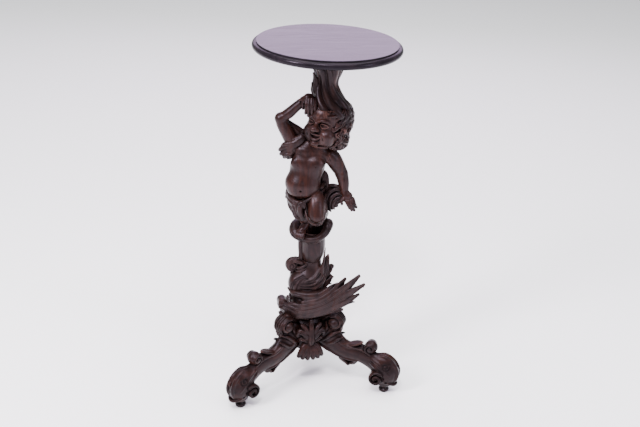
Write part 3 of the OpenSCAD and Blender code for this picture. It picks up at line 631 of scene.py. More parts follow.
def make_shoulder_sash():
    c = Clay([-106, -48, 670], [-4, 52, 796], 0.9)
    tips = [(-84, -21, 724, 6), (-90, -18, 712, 6.2), (-87, -17, 700, 6.2), (-78, -18, 692, 6.2),
            (-68, -20, 691, 5.6)]
    for i, (x, y, z, r) in enumerate(tips):
        m = v3(-54 - 1.4 * i, -29, 736 - 4 * i)
        c.add(tube([(-27, -22, 755 - 2 * i), (-39, -28, 747 - 3 * i), m, (x + 8, y - 3, z + 6),
                    (x, y + 3, z - 2)],
                   [3.6, 5, 6, r + 0.4, r * 0.75], 5), k=0.8)
    c.add(ribbon([(-32, -18, 748, 8, 6, 0), (-54, -22, 730, 12, 6, 2), (-72, -18, 714, 15, 6, 3),
                  (-82, -14, 704, 11, 5, 2)], (0.6, 0, 0.8), 4), k=3)
    # Over the shoulder and behind the arm
    for p in ([(-74, -4, 790), (-62, -3, 778), (-50, -1, 769), (-38, -2, 762), (-27, -6, 754)],
              [(-64, 8, 768), (-50, 10, 760), (-38, 8, 754), (-24, 4, 746)],
              [(-34, -18, 754), (-28, 2, 760), (-26, 18, 750), (-34, 30, 728)],
              [(-40, -22, 748), (-36, 0, 756), (-36, 22, 744), (-44, 30, 716)]):
        c.add(tube(p, [3.4, 6.4, 7.8, 7.4, 6][: len(p)], 5), k=1.5)
    c.add(tube([(-56, -6, 770), (-48, -8, 761), (-40, -10, 753), (-30, -10, 745)], [4, 6, 7, 6], 5), k=2)
    for o in (-10, 0, 10):
        c.add(tube([(-28, 16, 748 + o), (-36, 30, 722 + o), (-48, 30, 696 + o)], [4, 6.5, 4], 5), k=2)
    return c


def make_fan():
    c = Clay([8, -40, 500], [100, 48, 622], 0.9)
    spine = [
        [(80, -4, 600), (66, 0, 607), (50, 3, 607), (34, 8, 598), (24, 12, 580), (22, 14, 552)],
        [(84, -6, 592), (70, -4, 598), (56, -4, 597), (42, -8, 584), (36, -14, 562), (38, -12, 534)],
        [(86, -8, 583), (74, -7, 588), (60, -8, 585), (49, -12, 571), (46, -14, 553), (52, -10, 536)],
        [(88, -8, 575), (76, -8, 578), (65, -10, 573), (56, -12, 561), (56, -12, 550), (62, -8, 543)],
        [(88, -8, 569), (80, -8, 570), (71, -10, 565), (65, -10, 558), (66, -10, 554), (70, -8, 552)],
    ]
    for p in spine:
        c.add(tube(p, [3.8, 5, 5.6, 5.8, 5.2, 2.2], 5), k=0.6)
    for a, b in zip(spine[:-1], spine[1:]):
        for f in (0.35, 0.7):
            q = [(np.array(u) * (1 - f) + np.array(w) * f) + (0, 6, 0) for u, w in zip(a, b)]
            c.add(tube(q, [2.8, 4, 4.6, 4.6, 4, 1.8], 4), k=2)
    c.add(tube([(40, -30, 564), (44, -26, 541), (44, -22, 522), (40, -18, 504)], [7, 8, 7, 5], 4), k=2)
    return c


def make_back():
    c = Clay([-50, -12, 456], [40, 46, 600], 0.9)
    c.add(tube([(0, 6, 463), (0, 6, 485), (-2, 9, 505), (-4, 14, 528), (-5, 15, 560), (-5, 14, 580)],
               [11, 11, 12, 16, 18, 18]))
    for i in range(9):
        a = math.radians(-100 + 25 * i)
        c.add(tube([(11 * math.sin(a), 6 + 10 * math.cos(a), 466),
                    (12 * math.sin(a) - 1, 8 + 11 * math.cos(a), 500),
                    (18 * math.sin(a) - 4, 14 + 15 * math.cos(a), 535), (20 * math.sin(a) - 5,
                                        14 + 16 * math.cos(a), 575)],
                   [2.4, 3, 4.2, 4.4], 5), k=1.2)
    return c


def make_shaft():
    c = Clay([-34, -68, 808], [96, 62, 963], 1.0)
    line = [(34, -2, 822, 54), (33, -3, 838, 47), (29, -4, 856, 38), (26, -4, 874, 31), (25, -4, 892, 26),
            (26, -4, 908, 26.5),
            (27, -4, 928, 31), (25, -4, 948, 36), (23, -4, 966, 40)]
    path = curve(line, 2)
    c.add(tube([s[:3] for s in path], [s[3] - 4.5 for s in path], 1))
    n = 11
    for i in range(n):
        sway = random.uniform(-0.16, 0.16)
        p, r = [], []
        for j, (x, y, z, rad) in enumerate(path):
            t = j / (len(path) - 1)
            a = 2 * math.pi * (i + 0.25 * math.sin(3 * t + i)) / n
            a = a + 1.2 * (1 - t) ** 2 + sway * math.sin(t * 5)
            out = rad - 4.6
            p.append((x + out * math.sin(a), y - out * math.cos(a), z))
            r.append((4.2 + rad * 0.13) * (1 + 0.2 * math.sin(t * 7 + i * 2)))
        c.add(tube(p, r, 3), k=3)
        if i % 2:
            c.cut(tube([(22 + (q[0] - 22) * 1.18, -4 + (q[1] + 4) * 1.18, q[2]) for q in p[6:]], 1.1, 2),
                  k=2)
    # Leaf tips that turn out under the bearer
    for a, lift in ((84, 2), (-98, 0), (196, 2)):
        a = math.radians(a)
        s, q = math.sin(a), -math.cos(a)
        c.add(tube([(26 + 24 * s, -4 + 24 * q, 900), (26 + 29 * s, -4 + 29 * q, 916),
                    (26 + 36 * s, -4 + 36 * q, 930 + lift), (25 + 44 * s, -4 + 44 * q, 938 + lift)],
                   [3, 5, 4.4, 1.4], 4), k=1.2)
    c.slice((0, 0, 961.5), (0, 0, 1))
    return c


def make_neck_leaf():
    c = Clay([-34, -38, 850], [18, 16, 940], 0.9)
    c.add(ribbon([(-4, -12, 860, 6, 4, 0), (-8, -13, 876, 9, 4, 2), (-6, -14, 893, 9, 3.6, 3),
                  (-6, -15, 908, 6, 3, 2), (-10, -16, 922, 1.5, 1.5, 0)],
                 (0.55, -0.8, 0), 5, flutes=1, depth=1.2), k=1)
    c.add(tube([(-4, -16, 864), (-8, -18, 878), (-6, -19, 894), (-6, -19, 908), (-10, -17, 920)],
               [2.6, 3.4, 3.2, 2.4, 1.2]), k=1.5)
    c.add(tube([(-4, -12, 872), (-11, -10, 884), (-14, -10, 894)], [3, 3.6, 1.4]), k=1)
    return c


# ---- the vase and its acanthus ----

RIM_BASIS = np.array([[math.cos(0.192), 0, -math.sin(0.192)], [0, 1, 0],
                      [math.sin(0.192), 0, math.cos(0.192)]])
RIM_BASIS = RIM_BASIS @ np.array([[1, 0, 0], [0, math.cos(0.21), -math.sin(0.21)],
                                  [0, math.sin(0.21), math.cos(0.21)]])


def on_rim(a, r, lift=0.0):
    return v3(4, -4, 480) + RIM_BASIS @ v3(r * math.sin(a), -r * math.cos(a), lift)


def make_vase():
    c = Clay([-66, -74, 366], [76, 66, 518], 1.0)
    c.add(tube([(6, -4, 374), (7, -4, 390), (8, -4, 404), (8, -4, 430), (7, -4, 452), (4, -4, 466)],
               [17, 24, 28, 29, 29, 31], 4))
    # Broad leaves that hang from the lip, with a sharp crease between them
    for i in range(6):
        a = 2 * math.pi * (i + 0.12) / 6
        s, q = math.sin(a), -math.cos(a)
        low = 377 if i % 2 == 0 else 386
        c.add(ribbon([(6 + 28 * s, -4 + 28 * q, 462, 15, 4, -3),
                      (8 + 28.5 * s, -4 + 28.5 * q, 436, 15.5, 4, -3), (8 + 28 * s, -4 + 28 * q, 412, 14, 4,
                                        -3),
                      (7 + 24 * s, -4 + 24 * q, 394, 9, 3.4, -2), (6 + 19 * s, -4 + 19 * q, low, 1.5, 2,
                                        0)], (-q, s, 0), 4), k=0.6)
        c.cut(tube([(8 + 34.5 * s, -4 + 34.5 * q, 452), (8 + 35 * s, -4 + 35 * q, 424),
                    (8 + 31 * s, -4 + 31 * q, 402)], [0.4, 0.9, 0.4], 4), k=2)
    turn = [2 * math.pi * i / 24 for i in range(25)]
    front = [max(0.0, math.cos(a)) ** 1.5 for a in turn]
    c.add(tube([on_rim(a, 35, -12 - 6 * f) for a, f in zip(turn, front)], 7, 2), k=3)
    c.add(tube([on_rim(a, 41 + math.sin(a * 3) * 0.8, math.sin(a * 2 + 1) * 1.2 - 8 * f) for a,
                f in zip(turn, front)],
               [14 - 6 * f for f in front], 2), k=1.5)
    c.cut(tube([on_rim(a, 52, -7 - 6 * f) for a, f in zip(turn, front)], 1.6, 2), k=2.5)
    # The lip is rolled over at the left in a broad lobe with a groove along it, and turns up at the right
    c.add(tube([on_rim(math.radians(-128), 44, 6), on_rim(math.radians(-100), 46, 7),
                on_rim(math.radians(-72), 47, 4), on_rim(math.radians(-46), 45, -4)],
               [15, 17, 16, 10], 4), k=4)
    c.cut(tube([on_rim(math.radians(-140), 56, 14), on_rim(math.radians(-105), 60, 14),
                on_rim(math.radians(-70), 60, 8), on_rim(math.radians(-48), 54, 0)], 1.8, 4), k=3)
    c.add(ball(on_rim(math.radians(95), 44, 6), (15, 16, 15)), k=8)
    c.cut(tube([on_rim(math.radians(60), 44, 19), on_rim(math.radians(95), 52, 20),
                on_rim(math.radians(125), 50, 14)], 1.6), k=3)
    c.cut(tube([(4, -4, 468), (4, -8, 530)], [27, 33], 1), k=2)
    return c


def make_volute():
    c = Clay([-78, -46, 330], [4, 22, 474], 0.9)
    c.add(ball((-46, -14, 371), (18, 15, 20)))
    for y in (-23, -13, -3):
        rim = [(-22, y, 382), (-34, y, 391), (-48, y, 392), (-61, y, 382), (-64, y, 368), (-56, y, 354),
               (-44, y, 351)]
        c.add(tube(c.onto(curve(rim, 3), -1), 4, 1), k=2)
    face = c.onto(scroll([-46, -30, 371], (0.2, -1, 0.1), (0.5, 0, 1), 14, 3, -1.5))
    c.cut(tube(face, 1.9, 2), k=1.6)
    c.cut(ball((-52, -31, 364), (4.5, 4, 4.5)), k=2)
    for y, z in ((-24, 386), (-14, 389), (-4, 386)):
        c.add(tube([(-40, y, z), (-26, y, z - 3), (-14, y + 2, z - 13), (-10, y + 4, z - 28)],
                   [5, 5.4, 5, 3], 5), k=1.5)
    for z in (356, 366):
        c.add(tube([(-36, -20, z), (-28, -26, z + 1), (-18, -30, z + 6), (-8, -30, z + 14)],
                   [3, 5, 4.6, 2.5], 5), k=1.5)
    # The narrow leaf that joins the volute to the lip above
    c.add(tube([(-22, -6, 466), (-25, -8, 446), (-25, -8, 424), (-23, -10, 400), (-26, -12, 384)],
               [6, 8, 8, 8, 7], 4), k=2)
    return c


def make_side_leaf():
    c = Clay([16, -44, 296], [86, 26, 436], 0.9)
    c.add(ribbon([(30, -22, 318, 14, 4, 2), (40, -20, 348, 14, 4, 3), (46, -15, 376, 9, 3.4, 3),
                  (49, -10, 394, 5, 2.6, 1), (51, -8, 404, 1, 1.4, 0)],
                 (0.9, 0.5, -0.1), 5, flutes=3, depth=1.1), k=1)
    c.add(tube([(36, -24, 352), (39, -22, 386), (41, -19, 410), (43, -17, 429)], [4.4, 3.6, 2.4, 1.1], 5),
          k=1)
    lobes = [
        ([(34, -18, 322), (48, -12, 338), (60, -6, 352), (65, -3, 364)], 5.5),
        ([(36, -20, 312), (50, -14, 322), (62, -8, 330), (70, -5, 332)], 4.6),
        ([(34, -20, 306), (48, -15, 310), (58, -9, 312), (65, -6, 310)], 4.2),
        ([(32, -22, 302), (48, -18, 300), (62, -12, 301), (73, -8, 302)], 3.8),
    ]
    for p, r in lobes:
        c.add(tube(p, [r, r, r * 0.9, r * 0.35], 5), k=0.8)
    c.add(ribbon([(32, -14, 308, 14, 3, 0), (46, -8, 326, 16, 3, 2), (58, -4, 340, 11, 3, 1)],
                 (-0.5, 0.3, 0.8), 4), k=2)
    c.add(tube(scroll([62, -2, 362], (0.2, -1, 0), (-0.4, 0, -1), 8, 2, -1.4),
               [4.6, 4.5, 4.4, 4.2, 4, 3.8, 3.6, 3.4, 3.2, 3, 3, 3, 3, 3][:14], 3), k=0.8)
    c.add(ball((62, -1, 362), (6, 8, 6)), k=1.5)
    c.add(tube([(30, 2, 312), (44, 6, 332), (50, 6, 356), (47, 4, 380)], [8, 8, 6, 2.5], 5), k=2)
    return c


def flute(centre, radius, z, squash, a0, a1, r, rise=0.0, tilt=0.0, steps=9):
    """Points and radii of a rib that goes round a block, tapering at both ends."""
    p, rr = [], []
    for i in range(steps):
        t = i / (steps - 1)
        a = math.radians(a0 + (a1 - a0) * t)
        p.append((centre[0] + radius * math.sin(a), centre[1] - radius * squash * math.cos(a),
                  z + rise * t + tilt * math.sin(math.pi * t)))
        rr.append(r * (0.35 + 0.65 * math.sin(math.pi * min(max(t, 0.06), 0.94)) ** 0.6))
    return p, rr


def make_tier():
    c = Clay([-74, -74, 286], [66, 56, 386], 1.0)
    c.add(ball((-3, -8, 322), (49, 44, 42)))
    c.add(tube([(4, -4, 342), (6, -4, 378)], [35, 27], 1), k=14)
    c.add(ball((-2, -12, 300), (47, 42, 17)), k=8)
    # The broad lobe that curls down on the left, with three grooves round it
    c.add(ball((-30, -20, 317), (27, 31, 35)), k=5)
    for o in (0, 9, 19):
        line = curve([(-16 + o * 0.7, -40, 350 - o * 0.5), (-38 + o, -46, 338), (-50 + o, -44, 316),
                      (-46 + o, -46, 298), (-30 + o, -50, 290)], 4)
        c.cut(tube(c.onto(line), 1.9, 1), k=3)
    # Folds that fall from the side leaf and sweep round to the left
    for i, (x, z) in enumerate(((34, 364), (46, 352), (52, 336))):
        line = curve([(x, -20, z), (x - 12, -44, z - 12), (x - 26, -50, z - 21 + i),
                      (x - 42, -54, z - 26 + 2 * i)], 4)
        c.add(tube(c.onto(line, -1.5), np.linspace(7, 3.5, len(line)), 1), k=2.5)
    # Sharp cuts across the front
    for z, a0, a1, rise in ((313, -20, 26, 2), (321, -24, 34, 4), (329, -22, 30, 6), (337, -12, 22, 6)):
        p, _ = flute((-4, -8), 48, z, 0.9, a0, a1, 1, rise, -2)
        line = c.onto(curve(p, 2))
        c.cut(tube(line, 0.4 + 2.2 * np.sin(np.linspace(0.1, 3.0, len(line))), 1), k=1.2)
    for z, radius, r in ((300, 45, 7), (314, 47, 7.6), (329, 45, 7.6), (343, 39, 6.6)):
        p, rr = flute((-4, -6), radius, z, 0.9, 84, 236, r, 2, 3)
        c.add(tube(p, rr, 3), k=3)
    # Folds that run down from the stem at the back
    for i in range(3):
        a0 = math.radians(-176 + 26 * i)
        p = []
        for r, z, turn in ((23, 380, 0), (32, 371, 0.15), (43, 358, 0.35), (49, 340, 0.6), (50, 324, 0.85)):
            p.append((2 + r * math.sin(a0 + turn), -5 - r * 0.9 * math.cos(a0 + turn), z))
        c.add(tube(p, [3, 6.4, 7.4, 6, 2.4], 4), k=3)
    c.slice((0, 0, 288.2), (0, 0, -1))
    return c


def make_shell_leaf():
    c = Clay([-76, -78, 286], [76, 14, 330], 0.9)
    c.add(tube([(66, -14, 296), (50, -36, 299), (24, -55, 300), (-8, -59, 300), (-38, -48, 299),
                (-56, -22, 300)], [3, 9, 10, 9.5, 8, 3], 5))
    for dz in (-4, 4):
        c.cut(tube([(50, -46, 299 + dz), (24, -66, 300 + dz), (-8, -70, 300 + dz), (-38, -58, 299 + dz)],
                   [0.6, 1.6, 1.6, 0.6], 5), k=3)
    return c


# The wave's strands, from the scroll on the left, round the front, to the tips on the right: points and
# half width
STRANDS = [
    ([(-78, -20, 247), (-60, -38, 235), (-30, -50, 229), (6, -54, 236), (58, -47, 246), (99, -33, 244)], 8),
    ([(-72, -26, 250), (-54, -44, 241), (-20, -56, 236), (36, -57, 248), (100, -40, 270), (142, -26, 292)],
     9.5),
    ([(-62, -36, 254), (-46, -49, 250), (-14, -60, 247), (42, -57, 262), (106, -37, 294), (156, -20, 321)],
     11),
    ([(-48, -46, 259), (-32, -54, 259), (-4, -61, 260), (48, -56, 277), (102, -34, 312), (141, -14, 345)],
     12),
    ([(-12, -58, 272), (10, -60, 275), (30, -60, 280), (58, -52, 294), (82, -35, 315), (102, -18, 336)], 11),
    ([(-8, -57, 286), (8, -58, 288), (26, -57, 293), (46, -51, 303), (64, -40, 315), (80, -28, 324)], 9),
]


def wave(c):
    """The wave's strands, laid side by side in a block of clay, with veins along them."""
    for p, w in STRANDS:
        p = np.array(p, float)
        wide = [0.55, 0.9, 1.0, 1.05, 0.95, 0.2]
        c.add(ribbon([(*q, w * f, 5.5 - i * 0.6, 1.5) for i, (q, f) in enumerate(zip(p, wide))],
                     (-0.34, -0.15, 0.93), 5), k=2)
        for o in (-0.66, -0.2, 0.26, 0.7):
            side = unit((-0.34, -0.15, 0.93)) * w * o
            q = [a + side * f * 0.9 + (0, -4.4, 0) for a, f in zip(p[:5], wide)]
            c.add(tube(q + [p[4] * 0.3 + p[5] * 0.7], [1.6, 2.5, 2.9, 3.1, 2.5, 0.8], 4), k=0.6)
    c.add(tube([(-66, -26, 240), (-34, -42, 234), (0, -45, 235), (36, -43, 241), (66, -36, 250)],
               [7, 11, 13, 12, 8], 5), k=8)
    return c


def make_swirl_block():
    c = Clay([-80, -76, 206], [78, 56, 289], 1.0)
    c.add(tube([(0, -4, 214), (0, -6, 228), (0, -7, 246), (0, -9, 268), (0, -9, 282)], [30, 38, 47, 47, 43],
               4))
    for z, radius, r in ((218, 35, 6.5), (230, 43, 7.5), (245, 49, 7.5), (260, 50, 7.5), (274, 46, 7)):
        p, rr = flute((0, -7), radius, z, 0.88, 74, 286, r, 6, 3)
        c.add(tube(p, rr, 3), k=2.5)
    # The dark hollow on the left with its short ribs
    c.cut(ball((-28, -52, 277), (17, 16, 11)), k=4)
    for i in range(6):
        t = i / 5
        c.add(tube([(-60 + 20 * t, -26 - 12 * t, 284 + 2 * t), (-60 + 24 * t, -38 - 12 * t, 272),
                    (-52 + 24 * t, -48 - 9 * t, 258)], [1.6, 3.2, 2], 3), k=0.8)
    c.slice((0, 0, 206.4), (0, 0, -1))
    c.slice((0, 0, 288), (0, 0, 1))
    return c


def make_wave():
    c = wave(Clay([-106, -82, 204], [170, 20, 372], 1.1))
    c.add(tube([(-77, -16, 250), (-71, -24, 240), (-60, -32, 232), (-44, -40, 228), (-26, -46, 229)],
               [5, 7, 8, 8, 8], 4), k=3)
    # Small lobes on the under edge of the wing
    for p in ([(100, -40, 264), (120, -33, 268), (133, -30, 268)],
              [(112, -30, 300), (136, -22, 310), (156, -18, 310)]):
        c.add(tube(p, [5, 4, 1.2], 4), k=1.5)
    # The rolled end on the left
    axis = (0.2, -1, 0.1)
    c.add(ribbon(scroll_stations([-73, -24, 257], axis, (-0.6, 0, -1), 14, 4, 1.5, 13, 4.2, 1.25),
                 unit(axis), 3), k=0.8)
    c.add(tube([(-75, -12, 257), (-71, -34, 257)], [12, 11], 1), k=1.5)
    c.add(ball((-70, -41, 257), (6, 4, 6)), k=1)
    for i in range(3):
        y = -8 - 7 * i
        c.add(tube([(-85 + i, y + 2, 250), (-77, y, 238 + i), (-58, y - 5, 228 + i * 1.6),
                    (-34, y - 10, 224 + i * 2), (-8, y - 16, 230 + i * 2)],
                   [3, 5.4, 6, 5.4, 3], 5), k=1.2)
    return c


# ---- the tripod: a leg and a palmette are drawn towards -Y, at azimuth 0 ----


def leg_point(r, z, x=0.0):
    return (x, -r, z)


def make_leg():
    c = Clay([-40, -292, 8], [40, -34, 236], 1.1)
    line = [(40, 158, 16, 40), (60, 152, 17, 41), (82, 137, 17, 35), (102, 120, 17, 29.5),
            (126, 110, 16.5, 27), (152, 109, 16, 24.5),
            (178, 104, 16, 25.5), (204, 93, 17, 27), (226, 76, 19, 28)]
    for a, b in zip(curve(line, 3)[:-1], curve(line, 3)[1:]):
        m = (a + b) / 2
        c.add(ball(leg_point(m[0], m[1]), (m[2], (m[3] + 11) * 0.62, m[3])), k=7)
    # The two side beads, the raised middle band, and the grooves between them
    top = [(96, 152), (110, 140), (130, 131), (152, 131), (176, 128), (196, 118)]
    for s in (-1, 1):
        c.add(tube([leg_point(r, z - 1, s * 14) for r, z in top], [2.4, 3, 3, 3, 2.8, 2], 4), k=2)
        c.add(tube([leg_point(r, z, s * 13) for r, z in ((44, 122), (62, 112), (84, 103), (106, 94),
                                        (134, 89), (160, 89))], [3, 4.4, 4.4, 4, 3.8, 2.8], 4), k=2)
        c.cut(tube([leg_point(r, z - 7, s * 19) for r, z in top], [0.8, 1.2, 1.4, 1.4, 1.2, 0.8], 4), k=2.5)
    # Top scroll, rolled outwards, with ridges across its face
    c.add(ribbon(scroll_stations([0, -86, 203], (1, 0, 0), (0, 0.6, 1), 21, 5, 1.6, 17, 4.4, 1.08),
                 (1, 0, 0), 3, flutes=2, depth=1.1), k=0.8)
    c.add(tube([(-17, -86, 203), (17, -86, 203)], [15, 15], 1), k=2)
    c.add(ball((0, -90, 176), (15, 17, 15)), k=2)
    for s in (-1, 1):
        c.add(ball((s * 20, -86, 203), (4, 6.5, 6.5)), k=1)
        c.cut(tube(scroll([s * 19.5, -86, 203], (s, 0, 0), (0, -1, 0.4), 16, 7, s * 1.1), 1.3, 3), k=1.2)
        # Leaves that rise on the cheek of the leg under the scroll
        c.add(tube([(s * 13, -50, 134), (s * 19, -68, 152), (s * 19, -86, 168), (s * 14, -104, 178)],
                   [4, 5.6, 5, 1.8], 5), k=1)
        c.add(tube([(s * 14, -46, 150), (s * 20, -58, 170), (s * 18, -66, 186), (s * 14, -62, 202)],
                   [4, 5.4, 5, 2], 5), k=1)
        c.add(tube([(s * 14, -66, 128), (s * 19, -86, 140), (s * 18, -102, 152), (s * 13, -112, 158)],
                   [3.4, 4.8, 4.2, 1.6], 5), k=1)
    c.add(tube([(0, -46, 206), (0, -60, 214), (0, -76, 224)], [12, 13, 10], 3), k=4)
    for x in (-12, -4, 4, 12):
        c.add(tube([(x, -60, 214), (x, -84, 227), (x, -104, 216), (x, -110, 200), (x * 0.9, -104, 184),
                    (x * 0.6, -106, 172)], [3, 3.6, 3.8, 3.6, 3, 1.4], 5), k=1)
    # Leaf tip before the knob, the knob, and the small knobs of the underside
    c.add(ribbon([(0, -128, 132, 8, 4, 0), (0, -146, 137, 11, 3.6, 2), (0, -160, 142, 9, 3, 2),
                  (0, -170, 147, 1.5, 1.6, 0)], (1, 0, 0), 4, flutes=1, depth=1), k=2)
    c.add(ribbon(scroll_stations([0, -195, 138], (1, 0, 0), (0, 0.2, -1), 17, 5, 1.4, 15, 4.2, 1.1),
                 (1, 0, 0), 3, flutes=1, depth=1), k=0.8)
    c.add(ball((0, -195, 138), (19, 19, 19)), k=1.5)
    for s in (-1, 1):
        c.add(ball((s * 19, -195, 138), (3.6, 5.5, 5.5)), k=1)
        c.cut(tube(c.onto(scroll([s * 17.5, -195, 138], (s, 0, 0), (0, -1, 0.2), 14, 7, s * 1.0)), 1.4, 2),
              k=1.2)
    for p in ([(0, -112, 84), (0, -124, 74), (0, -131, 65)], [(0, -150, 86), (0, -146, 76), (0, -138, 70)]):
        c.add(tube(p, [11, 9, 5.5], 4), k=3)
        for s in (-1, 1):
            c.add(tube([(s * 9 + q[0], q[1], q[2] + 3) for q in p], [4, 4, 3], 4), k=1.5)
    # Foot: a smooth ball under two ridges, leaf tips and curls cut on its sides, and a volute that turns in
    c.add(ball((0, -243, 64), (29, 36, 44)), k=8)
    c.add(ball((0, -234, 94), (22, 33, 26)), k=10)
    for x in (-9, 9):
        c.add(tube([(x * 0.4, -208, 112), (x * 0.8, -236, 118), (x, -262, 103), (x * 1.1, -277, 76),
                    (x * 1.1, -274, 50), (x * 0.6, -258, 28)],
                   [2.4, 4.6, 5.4, 5.8, 5.2, 3], 4), k=3)
    c.add(tube([(-26, -244, 46), (-17, -266, 36), (0, -275, 32), (17, -266, 36), (26, -244, 46)],
               [2, 4, 4.4, 4, 2], 5), k=2.5)
    for p in ([(-14, -264, 98), (-4, -274, 86), (3, -279, 72)],
              [(15, -264, 92), (5, -276, 78), (-2, -280, 60)]):
        c.add(tube(p, [2.4, 4.4, 1.6], 4), k=1.5)
    for s in (-1, 1):
        for p, r in (([(s * 18, -206, 106), (s * 27, -226, 98), (s * 30, -246, 82), (s * 27, -262, 64)],
                      5.4),
                     ([(s * 18, -200, 96), (s * 27, -214, 82), (s * 30, -228, 70), (s * 29, -240, 58)],
                      4.8)):
            c.add(tube(c.onto(curve(p, 4), -1.5), np.linspace(r, 2, 13), 1), k=2)
        ring = c.onto(scroll([s * 27, -246, 94], (s, 0, 0), (0, -1, 0.3), 14, 3, s * 1.4))
        c.cut(tube(ring, 2.1, 2), k=1.8)
        c.cut(ball((s * 29, -240, 56), (5, 5, 6)), k=2)
        c.cut(ball((s * 25, -250, 42), (4, 4, 4)), k=2)
        c.add(ribbon(scroll_stations([s * 23, -221, 52], (1, 0, 0), (0, -0.8, 1), 23, 6, -1.4, 9, 4.2,
                                     1.15), (1, 0, 0), 3), k=1.2)
        c.add(ball((s * 27, -221, 52), (6, 6, 6)), k=1)
    c.add(tube([(-16, -174, 57), (16, -174, 57)], [10, 10], 1), k=3)
    c.add(ball((0, -240, 30), (20, 22, 14)), k=4)
    c.slice((0, 0, 18.6), (0, 0, -1))
    c.slice((0, -42.2, 0), (0, 1, 0))
    return c


def make_palmette():
    c = Clay([-54, -80, 80], [54, -40, 226], 0.9)
    # The body behind the leaves
    c.add(ball((0, -50, 176), (28, 8, 26)))
    c.add(ball((0, -50, 146), (20, 9, 22)), k=6)
    c.add(ball((0, -50, 120), (30, 8, 22)), k=6)
    # Stem with its bead, and the heart it grows from
    c.add(tube([(0, -52, 214), (0, -58, 204), (0, -61, 186), (0, -63, 162), (0, -61, 146)],
               [4, 7, 9, 11.5, 9], 5), k=2)
    c.add(ball((0, -57, 214), (6, 5.5, 6.5)), k=1)
    c.cut(tube([(0, -65, 208), (0, -71, 188), (0, -75, 164), (0, -71, 148)], [0.6, 1.2, 1.4, 0.8], 4), k=2)
    for s in (-1, 1):
        # Upper leaves curl out and down; the lobes below them are a half-open shell
        for p, r in (
            ([(s * 5, -58, 152), (s * 13, -61, 168), (s * 22, -61, 180), (s * 32, -58, 184),
              (s * 38, -55, 176)], 8.5),
            ([(s * 4, -59, 160), (s * 10, -61, 180), (s * 17, -60, 194), (s * 26, -56, 202)], 6.6),
            ([(s * 6, -57, 146), (s * 16, -59, 154), (s * 25, -58, 160), (s * 31, -55, 158)], 6.5),
            ([(s * 8, -56, 144), (s * 20, -58, 131), (s * 28, -60, 116), (s * 33, -59, 103)], 8),
            ([(s * 5, -57, 142), (s * 12, -60, 128), (s * 18, -63, 112), (s * 22, -62, 98)], 8.4),
            ([(s * 1, -57, 142), (s * 4, -61, 126), (s * 6.5, -65, 110), (s * 8, -64, 96)], 8.2),
        ):
            n = len(p)
            c.add(tube(p, [r * 0.6] + [r] * (n - 2) + [r * 0.8], 5), k=1)
            c.cut(tube([(q[0], q[1] - r * 1.02, q[2]) for q in p[1:]], [0.5] + [1.1] * (n - 2), 5), k=1.6)
        c.add(ball((s * 36, -56, 170), (5.5, 4.5, 5.5)), k=1)
    c.slice((0, -46.4, 0), (0, 1, 0))
    return c




# ---- materials ----


def link(tree, a, b):
    tree.links.new(a, b)


def node_of(tree, kind, **inputs):
    n = tree.nodes.new(kind)
    for key, value in inputs.items():
        n.inputs[key.replace("_", " ")].default_value = value
    return n


def ramp(tree, source, stops):
    n = tree.nodes.new("ShaderNodeValToRGB")
    while len(n.color_ramp.elements) < len(stops):
        n.color_ramp.elements.new(0.5)
    for e, (at, colour) in zip(n.color_ramp.elements, stops):
        e.position = at
        e.color = (*colour, 1) if np.ndim(colour) else (colour, colour, colour, 1)
    link(tree, source, n.inputs[0])
    return n


def mix(tree, factor, a, b, kind="MIX"):
    n = tree.nodes.new("ShaderNodeMix")
    n.data_type = "RGBA"
    n.blend_type = kind
    for value, socket in ((factor, n.inputs[0]), (a, n.inputs[6]), (b, n.inputs[7])):
        if hasattr(value, "links"):
            link(tree, value, socket)
        else:
            socket.default_value = (*value, 1) if np.ndim(value) else value
    return n.outputs[2]


